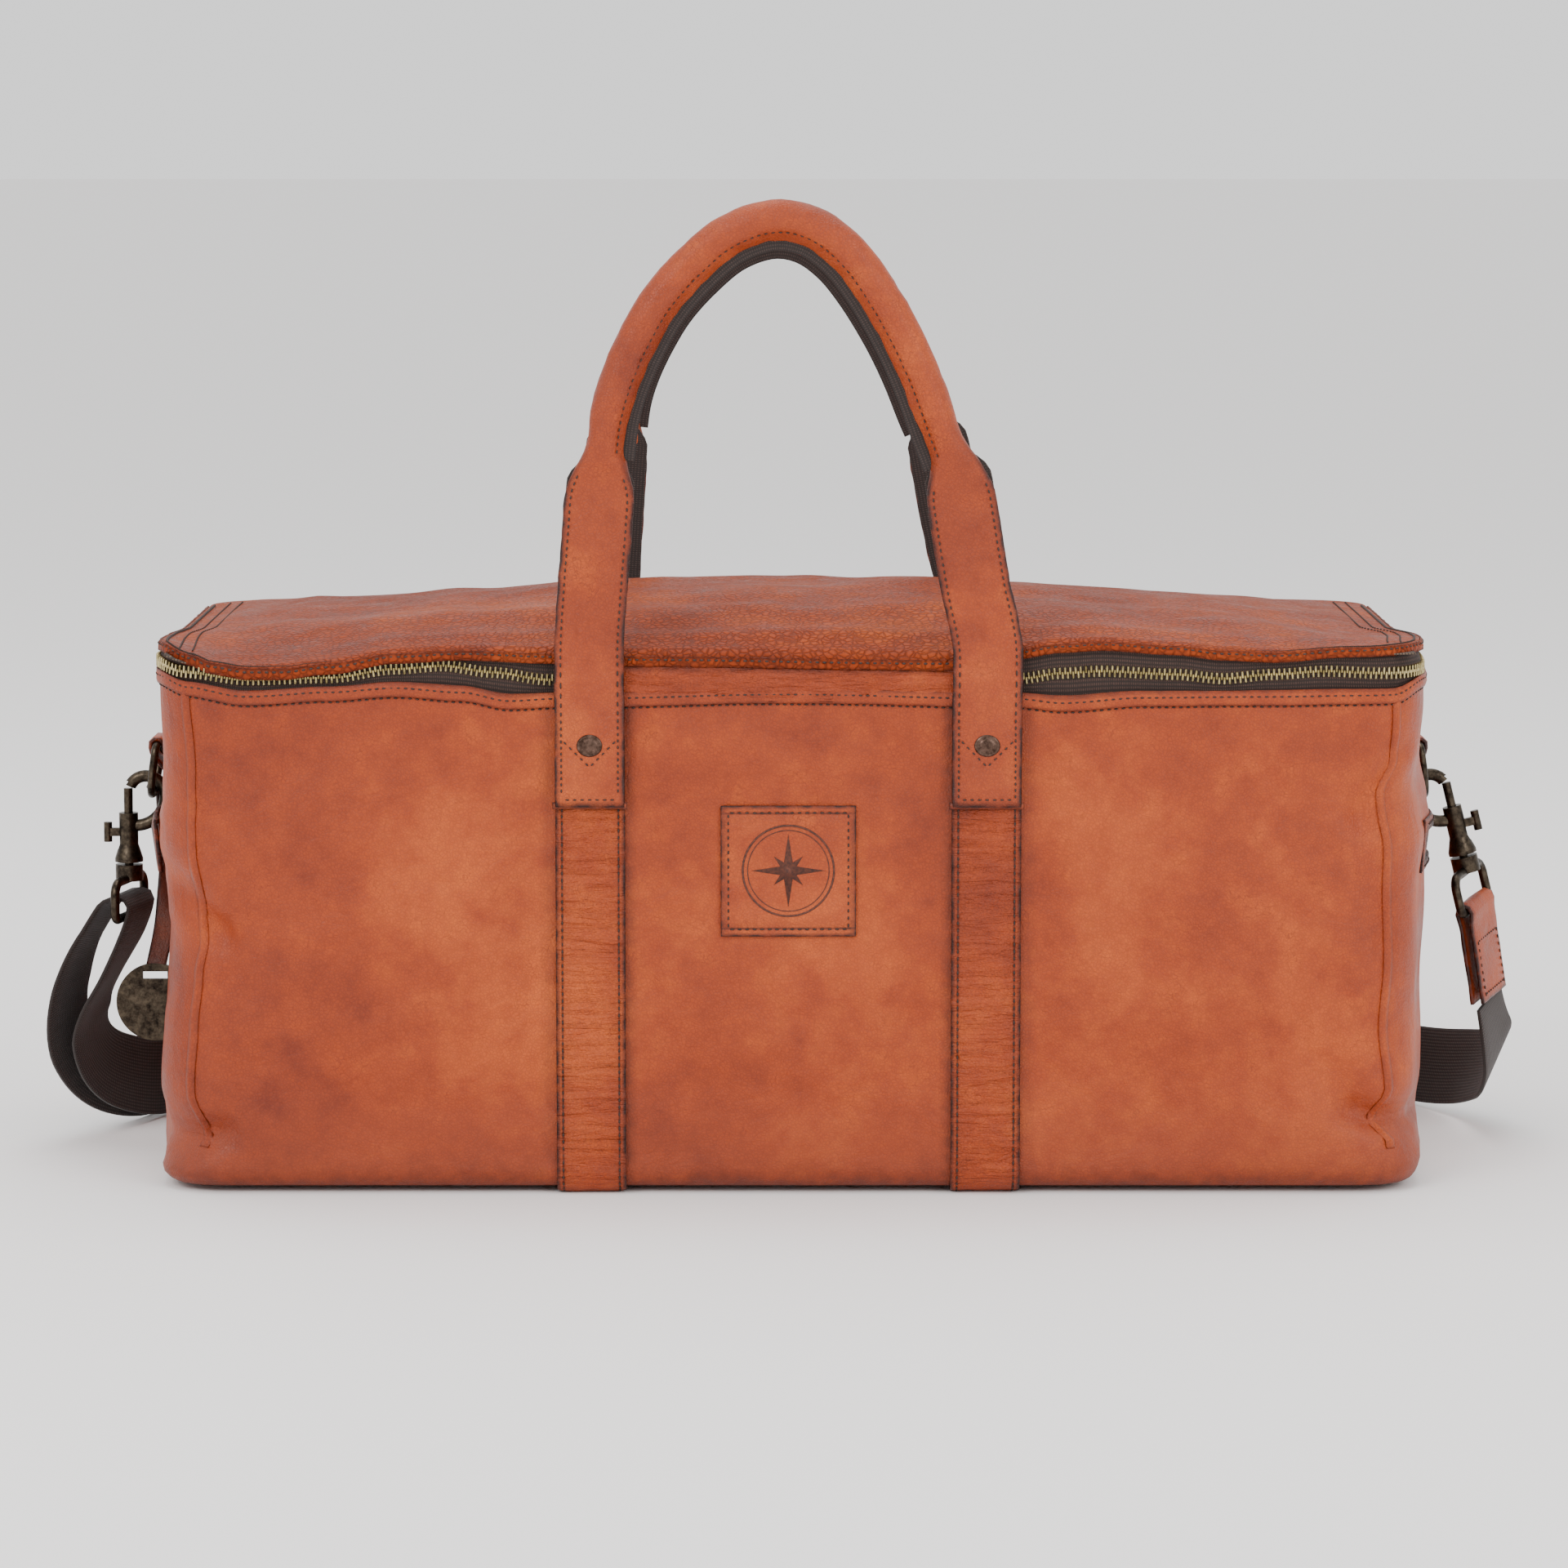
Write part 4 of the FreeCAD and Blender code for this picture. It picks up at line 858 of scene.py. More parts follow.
@dataclass
class Body:
    """The hide of the body: front, back, ends and bottom, with its raised corner seams."""

    bag: Bag
    cell: float = 4.6
    window: tuple[float, float, float, float] = (-88.0, 88.0, 150.0, 164.0)

    def shell(self, inset: float, cell: float) -> bmesh.types.BMesh:
        """The body's open shell, with both pocket mouths cut in it.

        Args:
            inset: how far inside the outer face it lies.
            cell: the size of its faces.

        Returns:
            The shell, before it settles.
        """
        bag = self.bag
        low, bottom_r = bag.trim_t + inset, bag.bottom_r - inset
        bm = bag.round_box(low, bag.body_top, inset)
        bmesh.ops.delete(bm, geom=[f for f in bm.faces if f.normal.z > 0.9], context="FACES")
        rim = [e for e in bm.edges if all(abs(v.co.z - low) < 0.01 for v in e.verts)]
        round_edges(bm, rim, bottom_r, 5)
        flat_l, flat_d = bag.half_l - bag.corner, bag.half_d - bag.corner
        slice_across(bm, X_AXIS, even_cuts(-flat_l, flat_l, cell))
        y_low, y_high, z_low, z_high = self.window
        slice_across(bm, Y_AXIS, even_cuts(-flat_d, flat_d, cell) + [y_low, y_high])
        slice_across(bm, Z_AXIS, even_cuts(low + bottom_r, bag.body_top, cell) + [z_low, z_high])
        mouths = [f for f in bm.faces if abs(f.calc_center_median().x) > bag.half_l - inset - 1
                  and y_low < f.calc_center_median().y < y_high and z_low < f.calc_center_median().z < z_high]
        bmesh.ops.delete(bm, geom=mouths, context="FACES")
        return bm

    def hide(self) -> None:
        """Build the body's leather shell and the turned edge along its top."""
        bag = self.bag
        bm = self.shell(0.0, self.cell)
        burnish = bm.verts.layers.float.new(BURNISH_AND_SHADE)
        tone = bm.verts.layers.float.new(PAINTED_LIGHT_TINT)
        beside = bag.strap_w / 2 + 1.5
        for vert in bm.verts:
            x, y, z = vert.co
            edge = 0.75 * (1 - smooth(0, 2.5, bag.body_top - z))
            # Painted shadow: a dark band along the bottom, just above the floor
            foot = 0.35 * bump(z, 4, 10)
            # Painted shade: dark lines on the front and back beside each strap's edges
            shade_by_trims = sum(0.42 * bump(abs(x), bag.strap_x + s * beside, 2.6) for s in (1, -1))
            vert[burnish] = max(edge, foot, shade_by_trims if abs(y) > bag.half_d - 2 else 0.0)
            # Painted light: the hide is tinted mauve towards the floor
            vert[tone] = 0.25 * smooth(60, 20, z)
        bag.slump.settle(bm)
        finish_piece(bm, "body_hide", BODY_HIDE, wall=bag.leather,
                     replaces=("front_panel", "back_panel", "bottom_panel", "left_end_panel",
                               "right_end_panel"))
        finish_piece(bag.welt(z=237.2, width=6.6, out=0.9), "body_welt", BODY_HIDE)

    def lining(self) -> None:
        """Line the body with cotton, and hang a flat bag behind each pocket's mouth."""
        bag = self.bag
        bm = self.shell(bag.leather + 1.4, 9.0)
        finish_piece(bag.slump.settle(bm), "lining_body", LINING, wall=0.8, replaces=("body_lining",))
        for name in ("left_pocket_bag", "right_pocket_bag"):
            bm = bmesh.new()
            bm.from_mesh(bpy.data.objects[name].data)
            bm.transform(Matrix.Scale(1 / MM, 4))
            bmesh.ops.remove_doubles(bm, verts=bm.verts[:], dist=0.01)
            slice_across(bm, Y_AXIS, even_cuts(-92, 92, 12))
            slice_across(bm, Z_AXIS, even_cuts(47, 170, 12))
            finish_piece(bag.slump.settle(bm), f"{name}_cloth", LINING, replaces=(name,), faceted=True)

    def seams(self) -> None:
        """Raise the four upright seams, where the long panels meet the ends."""
        bag = self.bag
        seam_x = bag.slump.seam_x
        over = seam_x - (bag.half_l - bag.corner)
        y = bag.half_d - bag.corner + math.sqrt(bag.corner ** 2 - over ** 2)
        ribs = []
        for end in End:
            for face in Face:
                out = Vector((end.value * over, face.value * (y - bag.half_d + bag.corner), 0)).normalized()
                foot = Vector((end.value * seam_x, face.value * y, 0))
                points = [foot + Z_AXIS * z + out * 0.2 for z in even_cuts(17, 241, 4)]
                side = out.cross(Z_AXIS) * -1
                ribs.append(Strip(5.0, 2.6, step=4.0, edge=2.0, pinch=0.1).build(Track(points, side)))
        bm = merge(ribs)
        layer = bm.verts.layers.float[BURNISH_AND_SHADE]
        for vert in bm.verts:
            vert[layer] *= 0.25
        finish_piece(bag.slump.settle(bm), "corner_seams", BODY_HIDE)

    def stitches(self) -> None:
        """Sew two rows along the turned top edge, round the front and ends and across the back."""
        bag = self.bag
        sewing = Stitching()
        for z, out in ((238.0, 1.75), (233.2, 0.25)):
            sewing.row(Track(bag.plan(out, z, bag.zip_end_y), Z_AXIS))
            back = [Vector((x, bag.half_d + 0.1, z)) for x in even_cuts(-262, 262, 8)]
            sewing.row(Track(back, Z_AXIS))
        sewing.finish("body_stitches", bag.slump)


@dataclass
class Lid:
    """The lid's crowned hide, and the strip behind it that it folds from."""

    bag: Bag
    cell: float = 4.6

    def shell(self, inset: float, cell: float) -> bmesh.types.BMesh:
        """The lid's crowned shell, open below, inside its outer face by inset."""
        bag = self.bag
        top = bag.lid_rim + bag.lid_wall - inset
        bm = bag.round_box(bag.lid_rim + 0.4 * inset, top, inset)
        bmesh.ops.delete(bm, geom=[f for f in bm.faces if f.normal.z < -0.9], context="FACES")
        slice_across(bm, X_AXIS, even_cuts(-bag.half_l, bag.half_l, cell))
        slice_across(bm, Y_AXIS, even_cuts(-bag.half_d, bag.half_d, cell))
        if not inset:
            slice_across(bm, Z_AXIS, [bag.lid_rim + 1.2, bag.lid_rim + 2.8])
        burnish = bm.verts.layers.float.new(BURNISH_AND_SHADE)
        tone = bm.verts.layers.float.new(PAINTED_LIGHT_TINT)
        for vert in bm.verts:
            x, y, z = vert.co
            vert[burnish] = 0.9 * (1 - smooth(0, 2.4, z - bag.lid_rim))
            depth = bag.inset(x, y)
            # Painted sheen: a mauve tint towards the lid's rear, fading in from its edges
            vert[tone] = 0.55 * smooth(-20, 90, y) * smooth(0, 30, depth)
            if z > top - 0.01:
                vert[burnish] = 0.0
                rumple = (noise.noise(Vector((x / 60, y / 45, 1.7))) * 2.0
                          + noise.noise(Vector((x / 22, y / 18, 5.1))) * 0.7)
                vert.co.z = bag.crown(x, y) - inset + rumple * smooth(4, 40, depth)
        return bag.slump.settle(bm)

    def hide(self) -> None:
        """Build the lid and its lining; the rear edge stays with the body and the rest opens."""
        bag = self.bag
        lining = finish_piece(self.shell(bag.leather + 1.2, 9.0), "lining_lid", LINING, body=None, wall=0.8,
                              replaces=("lid_lining",))
        hide = finish_piece(self.shell(0.0, self.cell), "lid_hide", LID_HIDE, body=None, wall=bag.leather,
                            replaces=("lid_panel",))
        for piece in (lining, hide):
            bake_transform(piece, "root", "lid", start=(0, 0.1345, 0.2500), end=(0, 0.1215, 0.2545))
        finish_piece(bag.welt(z=250.3, width=4.6, out=0.7), "lid_welt", LID_HIDE, body="lid")

    def rear_strip(self) -> None:
        """The low strip round the back, between the body's edge and the lid."""
        bag = self.bag
        offset = -bag.leather / 2
        r = bag.corner + offset
        a, b = bag.half_l - bag.corner, bag.half_d - bag.corner
        z = (bag.body_top + bag.lid_rim) / 2 + 0.2
        right = arc_points(Vector((a, b, z)), r, 0, 90, X_AXIS, Y_AXIS)
        left = arc_points(Vector((-a, b, z)), r, 90, 180, X_AXIS, Y_AXIS)
        points = [Vector((a + r, bag.zip_end_y - 1, z))] + right
        points += [right[-1].lerp(left[0], i / 40) for i in range(1, 40)] + left
        points.append(Vector((-a - r, bag.zip_end_y - 1, z)))
        strip = Strip(bag.lid_rim - bag.body_top + 1.0, bag.leather, edge=1.2, pinch=0.9)
        bm = strip.build(Track(points, Z_AXIS))
        finish_piece(bm, "rear_strip", BODY_HIDE, replaces=("rear_hinge_strip",))

    def stitches(self) -> None:
        """Sew the lid's front edge and the double rows at its ends."""
        bag = self.bag
        sewing = Stitching()
        for end in End:
            for inset in (9.0, 15.0):
                x = end.value * (bag.half_l - inset)
                points = [Vector((x, y, bag.crown(x, y) + 0.25)) for y in even_cuts(-124, 118, 5)]
                sewing.row(Track(points, X_AXIS * -1))
        sewing.row(Track(bag.plan(1.55, 251.2, bag.zip_end_y), Z_AXIS))
        sewing.finish("lid_stitches", bag.slump, body="lid")


@dataclass
class Zip:
    """A metal zip along a track: two tapes and two rows of teeth that lock."""

    bag: Bag
    pitch: float = 2.4
    tooth: tuple[float, float, float] = (0.95, 3.5, 2.2)
    lock: float = 0.7
    chamfer: float = 0.32

    def teeth(self, track: Track, up: int, start: float = 0.0) -> bmesh.types.BMesh:
        """One row of teeth; up is 1 for the upper row and -1 for the lower."""
        bm = bmesh.new()
        long, tall, deep = self.tooth
        count = int((track.length - start) / self.pitch)
        for i in range(count):
            place = start + (i + (0.5 if up > 0 else 0.0)) * self.pitch
            point, tangent, side, normal = track.at(place)
            turn = Matrix((tangent, side, normal)).transposed().to_4x4()
            move = Matrix.Translation(point + side * (up * (tall / 2 - self.lock)))
            size = Matrix.Diagonal((long, tall, deep, 1))
            made = bmesh.ops.create_cube(bm, size=1, matrix=move @ turn @ size)
            near = [e for v in made["verts"] for e in v.link_edges]
            round_edges(bm, list(set(near)), self.chamfer, 1)
        return bm

    def main(self) -> None:
        """The zip that runs round the front and both ends."""
        bag = self.bag
        slump = bag.slump
        drawn = Track(bag.plan(-1.6, bag.zip_z, bag.zip_end_y), Z_AXIS)
        spots = even_cuts(0, drawn.length, 4.0)
        middle = Track([slump.move(drawn.at(spot)[0]) for spot in spots], Z_AXIS)
        for up, body, name in ((-1, "root", "body"), (1, "lid", "lid")):
            row = self.teeth(middle, up)
            finish_piece(row, f"{name}_teeth", BRASS, body=body, replaces=(f"{name}_zip_teeth",),
                         faceted=True)
            tape_mid = Track(bag.plan(-2.4, bag.zip_z + up * 4.6, bag.zip_end_y), Z_AXIS)
            tape = Strip(9.2, 1.0, step=4.0, edge=1.0, pinch=0.9).build(tape_mid)
            slump.settle(tape)
            finish_piece(tape, f"{name}_tape", TAPE, body=body, replaces=(f"{name}_zip_tape",))

    def pocket(self, end: End) -> None:
        """The shorter zip in one end of the bag."""
        side = "left" if end is End.LEFT else "right"
        x = end.value * (self.bag.half_l - 1.6)
        points = [Vector((x, y, self.bag.pocket_z)) for y in even_cuts(-90, 90, 4)]
        if end is End.LEFT:
            points.reverse()
        small = Zip(self.bag, pitch=2.1, tooth=(0.9, 2.8, 1.8), lock=0.5)
        rows = merge([small.teeth(Track(points, Z_AXIS), up) for up in (-1, 1)])
        self.bag.slump.settle(rows)
        finish_piece(rows, f"{side}_pocket_row", BRASS, replaces=(f"{side}_pocket_teeth",), faceted=True)
        back = Track([p - X_AXIS * (end.value * 1.3) for p in points], Z_AXIS)
        tape = Strip(19.0, 0.8, edge=1.0, pinch=0.9).build(back)
        finish_piece(self.bag.slump.settle(tape), f"{side}_pocket_tapes", TAPE,
                     replaces=(f"{side}_pocket_tape",))


@dataclass
class Trims:
    """The leather straps sewn down the front, under the bag and up the back."""

    bag: Bag
    wave: float = 0.9
    covered: float = 54.0

    def line(self, x: float, out: float) -> list[Vector]:
        """The path of a strap round the body, from the front's top to the back's."""
        bag = self.bag
        r = bag.bottom_r + out
        y = bag.half_d - bag.bottom_r
        low = bag.trim_t + bag.bottom_r
        down = [Vector((x, -bag.half_d - out, z)) for z in even_cuts(bag.body_top + 3, low, -4)]
        front = arc_points(Vector((x, -y, low)), r, 180, 270, Y_AXIS, Z_AXIS, 10)
        rear = arc_points(Vector((x, y, low)), r, 270, 360, Y_AXIS, Z_AXIS, 10)
        under = [front[-1].lerp(rear[0], i / 24) for i in range(1, 24)]
        up = [Vector((x, bag.half_d + out, z)) for z in even_cuts(low, bag.body_top + 3, 4)]
        return down + front + under + rear + up

    def build(self) -> None:
        """Lay both straps and sew their edges."""
        bag = self.bag
        sewing = Stitching()
        for end in End:
            track = Track(self.line(end.value * bag.strap_x, bag.trim_t / 2), X_AXIS)
            strip = Strip(bag.strap_w, bag.trim_t, step=3.4, wave=self.wave, seed=end.value * 3.0,
                          grooves=(-bag.row_x, bag.row_x)).build(track)
            bag.slump.settle(strip)
            name = "left" if end is End.LEFT else "right"
            finish_piece(strip, f"{name}_strap_trim", STRAP_HIDE, replaces=(f"trim_strap_{name}",))
            for across in (-bag.row_x, bag.row_x):
                sewing.row(track, across, bag.trim_t / 2 - 0.1, self.covered, track.length - self.covered)
        sewing.finish("trim_stitches", bag.slump)


@dataclass
class Handle:
    """One carry handle: sewn feet, flat legs lined with webbing, and a round grip.
    """

    bag: Bag
    face: Face
    grip_r: float = 8.5
    foot_z: float = 182.0
    flat_to: float = 322.0
    round_from: float = 354.0
    rivet_z: float = 215.0
    vee: tuple[float, float, float] = (12.4, 3.0, 11.5)
    hinge_y: float = 0.1395
    bend: tuple[float, float] = (0.247, 0.266)
    lean: float = 0.0
    droop: float = 0.0

    def centre_line(self) -> list[Vector]:
        """The handle's middle line, from the left foot to the right foot."""
        left = [(-91, 182), (-91, 205), (-91, 230), (-91, 256), (-89.5, 280), (-87.5, 305), (-86, 325),
                (-84.5, 342), (-82, 361), (-77, 378), (-69, 396), (-59, 413), (-45, 429), (-28, 443),
                (-8, 450)]
        right = [(10, 447.5), (25.5, 437), (38.5, 421), (52, 398), (62, 376), (70, 354), (76, 338), (79, 322),
                 (82, 303), (86, 280), (91, 256), (91, 230), (91, 205), (91, 182)]
        y = self.face.value * (self.bag.half_d + self.bag.trim_t + 2.6)
        points = []
        for x, z in left + right:
            swing = self.lean * smooth(256, 335, z)
            points.append(Vector((x + swing, y, z - self.droop * smooth(256, 440, z))))
        return smooth_line(points, 8)

    def skin(self, track: Track) -> bmesh.types.BMesh:
        """Wrap leather on the line: flat on the legs, a tube with an inner seam at the grip."""
        bm = bmesh.new()
        middle = Matrix.Translation((0, 0, track.length / 2))
        bmesh.ops.create_cone(bm, cap_ends=True, segments=28, radius1=1, radius2=1, depth=track.length,
                              matrix=middle)
        slice_across(bm, Z_AXIS, even_cuts(0, track.length, 3.6))
        burnish = bm.verts.layers.float.new(BURNISH_AND_SHADE)
        half_w = self.bag.strap_w / 2
        for vert in bm.verts:
            angle = math.atan2(vert.co.y, vert.co.x)
            along = vert.co.z
            point, _, side, _ = track.at(along)
            out = Vector((0, self.face.value, 0))
            cos_a, sin_a = math.cos(angle), math.sin(angle)
            flat_u = half_w * math.copysign(abs(cos_a) ** 0.42, cos_a)
            flat_h = 1.55 * math.copysign(abs(sin_a) ** 0.55, sin_a) + 0.4
            rounding = smooth(self.flat_to, self.round_from, point.z)
            seam = 2.4 * math.exp(-((math.pi - abs(angle)) / 0.30) ** 2)
            tube_u, tube_h = (self.grip_r + seam) * cos_a, self.grip_r * sin_a
            waist = 1 - 0.16 * bump(point.z, 346, 12)
            u = (flat_u + (tube_u - flat_u) * rounding) * waist
            h = flat_h + (tube_h - flat_h) * rounding
            crinkle = noise.noise(Vector((u / 9, along / 7, h / 9 + self.face.value * 5))) * 0.45
            fold = noise.noise(Vector((along / 4.5, u / 30, 9.0))) * 0.8 * bump(point.z, 345, 26)
            u += crinkle * cos_a
            h += (crinkle + fold) * (1 if sin_a > 0 else 0.4)
            vert[burnish] = (1 - smooth(0.4, 2.6, half_w - abs(flat_u))) * (1 - rounding) * 0.95
            if along < 0.5 or along > track.length - 0.5:
                vert[burnish] = 1.0
            vert.co = point + side * u + out * h
        return bm

    def build(self) -> None:
        """Make the leather, its webbing and its stitches."""
        name = "front" if self.face is Face.FRONT else "back"
        bag = self.bag
        track = Track(self.centre_line(), self.inward_sides(self.centre_line()))
        bm = self.skin(track)
        self.settle_feet(bm)
        piece = finish_piece(bm, f"{name}_handle", HANDLE_HIDE, body=None,
                             replaces=(f"{name}_handle_feet", f"{name}_handle_leather",
                                       f"{name}_handle_core"))
        self.hinge(piece, name)
        lining = self.lining(track)
        piece = finish_piece(lining, f"{name}_handle_lining", WEBBING, body=None,
                             replaces=(f"{name}_handle_webbing",))
        self.hinge(piece, name)
        sewing = self.sewing(track)
        self.settle_feet(sewing.beads)
        piece = finish_piece(sewing.beads, f"{name}_handle_stitches", THREAD, body=None)
        self.hinge(piece, name)
        LOG.info("%s handle has %d stitches, strap width %.0f", name, sewing.count, bag.strap_w)

    def hinge(self, piece: bpy.types.Object, name: str) -> None:
        """Let a piece bend where the handle leaves the body."""
        y = self.face.value * self.hinge_y
        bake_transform(piece, "root", f"{name}_handle", start=(0, y, self.bend[0]), end=(0, y, self.bend[1]))

    def settle_feet(self, bm: bmesh.types.BMesh) -> None:
        """Move only the sewn feet with the body's slump."""
        for vert in bm.verts:
            share = 1 - smooth(226, 254, vert.co.z)
            if share > 0:
                vert.co = vert.co.lerp(self.bag.slump.move(vert.co), share)

    def inward_sides(self, points: Sequence[Vector]) -> list[Vector]:
        """The width direction all along, pointing away from the middle of the arch."""
        sides = []
        for i in range(len(points)):
            ahead = points[min(i + 1, len(points) - 1)] - points[max(i - 1, 0)]
            sides.append(Vector((-ahead.z, 0, ahead.x)).normalized())
        return sides

    def lining(self, track: Track) -> bmesh.types.BMesh:
        """Webbing behind the legs, and its edge caught in the grip's inner seam."""
        back = -self.face.value
        parts = []
        inner_y = self.face.value * (self.bag.half_d + self.bag.trim_t + 0.75)
        for low_end in (True, False):
            marks = [m for m, p in zip(track.marks, track.points) if (p.x < 0) is low_end and p.z < 349]
            start, stop = min(marks), max(marks)
            middle = []
            for place in even_cuts(start, stop, 5):
                point = track.at(place)[0]
                bow = back * 1.2 * smooth(330, 349, point.z)
                middle.append(Vector((point.x, inner_y + bow, point.z)))
            own = Track(middle, X_AXIS)

            def shape(along: float, own: Track = own, low_end: bool = low_end) -> float:
                """Narrow the last stretch to a round end."""
                left = own.length - along if low_end else along
                return 0.35 + 0.65 * math.sqrt(smooth(-1, 12, left))

            parts.append(Strip(31.0, 1.4, step=3.5, edge=1.0, taper=shape).build(own))
        arch = [m for m, p in zip(track.marks, track.points) if p.z > 336]
        middle = []
        for place in even_cuts(min(arch), max(arch), 4):
            point, _, side, _ = track.at(place)
            middle.append(point - side * (self.grip_r + 2.6))
        sides = self.inward_sides(middle)
        parts.append(Strip(7.0, 2.2, step=3.5, edge=1.0, wave=0.5).build(Track(middle, sides)))
        return merge(parts)

    def sewing(self, track: Track) -> Stitching:
        """Rows down both edges of the legs and feet, along the grip's seam, and across each foot."""
        sewing = Stitching()
        face = self.face.value
        out = Vector((0, face, 0))
        for across in (-self.bag.row_x, self.bag.row_x):
            for low_end in (True, False):
                marks = [m for m, p in zip(track.marks, track.points) if (p.x < 0) is low_end and p.z < 338]
                line = []
                for place in even_cuts(min(marks) + 3, max(marks), 4):
                    point, _, side, _ = track.at(place)
                    pull = 1 - 0.42 * smooth(self.flat_to, 345, point.z)
                    lift = 2.15 + 5.2 * smooth(self.flat_to, self.round_from, point.z)
                    line.append(point + side * across * pull + out * lift)
                sewing.row(Track(line, Vector((1, 0, 0.01))))
        arch = [m for m, p in zip(track.marks, track.points) if p.z > 338]
        angle = math.radians(138)
        for mirror in (1, -1):
            line = []
            for place in even_cuts(min(arch), max(arch), 4):
                point, _, side, _ = track.at(place)
                line.append(point + side * (self.grip_r * math.cos(angle))
                            + out * (mirror * (self.grip_r * math.sin(angle) + 0.2)))
            sewing.row(Track(line, out))
        surface = face * (self.bag.half_d + self.bag.trim_t + 2.6 + 2.15)
        for end in End:
            x = end.value * self.bag.strap_x
            across = [Vector((x + u, surface, self.foot_z + 4)) for u in (-12, 0, 12)]
            sewing.row(Track(across, Z_AXIS))
            for arm in (-1, 1):
                reach, rise, drop = self.vee
                leg = [Vector((x + arm * reach, surface, self.rivet_z + rise)),
                       Vector((x, surface, self.rivet_z - drop))]
                sewing.row(Track(leg, Vector((1, 0, 0.01))))
        return sewing

    def lips(self) -> list[bmesh.types.BMesh]:
        """The rolled end of each foot, below its cross row."""
        lips = []
        y = self.face.value * (self.bag.half_d + self.bag.trim_t + 2.2)
        for end in End:
            x = end.value * self.bag.strap_x
            points = [Vector((x + u, y, self.foot_z + 0.6)) for u in (-17.2, -12, -6, 0, 6, 12, 17.2)]
            lip = Strip(3.4, 3.2, step=3.0, edge=1.6, pinch=0.35, wave=0.3, rim_burn=0.75)
            lips.append(lip.build(Track(points, Z_AXIS * -self.face.value)))
        return lips

    def rivets(self) -> list[bmesh.types.BMesh]:
        """A pressed cap with a rolled rim on each foot."""
        face = self.face.value
        out = Vector((0, face, 0))
        caps = []
        for end in End:
            centre = Vector((end.value * self.bag.strap_x, face * (self.bag.half_d + self.bag.trim_t + 4.0),
                             self.rivet_z))
            profile = ((0.0, 1.7), (2.4, 1.6), (3.6, 1.35), (4.0, 1.05), (4.4, 1.2), (5.2, 1.15), (5.9, 0.7),
                       (6.1, 0.1), (5.6, -0.4))
            caps.append(lathe(profile, centre, out))
        return caps


@dataclass
class FrontDetails:
    """The zip guard between the handles, and the square patch with its plain compass star."""

    bag: Bag
    patch: tuple[float, float] = (62.0, 61.0)
    patch_z: float = 151.5

    def guard(self) -> None:
        """A folded strip that stands over the zip between the handles."""
        bag = self.bag
        y = -bag.half_d - 0.2
        points = [Vector((x, y - 0.7 * bump(x, 0, 60), 241.3)) for x in even_cuts(-84, 84, 4)]
        strip = Strip(13.4, 1.9, step=4.0, edge=2.4, pinch=0.5, wave=0.4, rim_burn=0.6)
        bm = strip.build(Track(points, Z_AXIS))
        bag.slump.settle(bm)
        finish_piece(bm, "zip_guard_strip", STRAP_HIDE, replaces=("zip_guard",))

    def badge(self) -> None:
        """The patch, its sewn border and the star pressed in it."""
        bag = self.bag
        wide, tall = self.patch
        y = -bag.half_d - 0.8
        reach = wide / 2 + 4
        middle = Track([Vector((x, y, self.patch_z)) for x in even_cuts(-reach, reach, 4)], Z_AXIS)
        bm = Strip(tall, 1.9, step=4.0, edge=2.0, pinch=0.6, grooves=(-26.8, 26.8)).build(middle)
        bag.slump.settle(bm)
        finish_piece(bm, "patch", HANDLE_HIDE, replaces=("maker_patch",))
        sewing = Stitching()
        half_w, half_t = wide / 2 - 3.4, tall / 2 - 3.4
        outline = [(-half_w, -half_t), (half_w, -half_t), (half_w, half_t), (-half_w, half_t),
                   (-half_w, -half_t)]
        front = y - 1.0
        for (x0, z0), (x1, z1) in zip(outline, outline[1:]):
            ends = Vector((x0, front, self.patch_z + z0)), Vector((x1, front, self.patch_z + z1))
            sewing.row(Track(ends, Z_AXIS if z0 == z1 else X_AXIS))
        sewing.finish("patch_stitches", bag.slump)
        mark = merge([self.ring(21.5, 1.0), self.ring(19.0, 0.5), self.star(17.0, 3.2, 0),
                      self.star(9.5, 2.6, 45)])
        for vert in mark.verts:
            vert.co = Vector((vert.co.x, front - 0.08 - vert.co.z, vert.co.y + self.patch_z))
        bag.slump.settle(mark)
        finish_piece(mark, "patch_star", ENGRAVED)

    def ring(self, radius: float, width: float) -> bmesh.types.BMesh:
        """A flat ring, drawn lying down."""
        bm = bmesh.new()
        bmesh.ops.create_circle(bm, cap_ends=True, segments=64, radius=radius)
        bmesh.ops.inset_region(bm, faces=bm.faces[:], thickness=width, use_even_offset=True,
                               use_boundary=True)
        bmesh.ops.delete(bm, geom=[f for f in bm.faces if len(f.verts) > 4], context="FACES")
        bmesh.ops.solidify(bm, geom=bm.faces[:], thickness=0.2)
        return bm

    def star(self, long: float, waist: float, turn: float) -> bmesh.types.BMesh:
        """A four-pointed star, drawn lying down."""
        bm = bmesh.new()
        bmesh.ops.create_circle(bm, cap_ends=True, segments=8, radius=1)
        for vert in bm.verts:
            angle = math.atan2(vert.co.y, vert.co.x)
            reach = long if round(math.degrees(angle)) % 90 == 0 else waist
            turned = angle + math.radians(turn)
            vert.co = Vector((reach * math.cos(turned), reach * math.sin(turned), 0))
        bmesh.ops.solidify(bm, geom=bm.faces[:], thickness=0.2)
        return bm


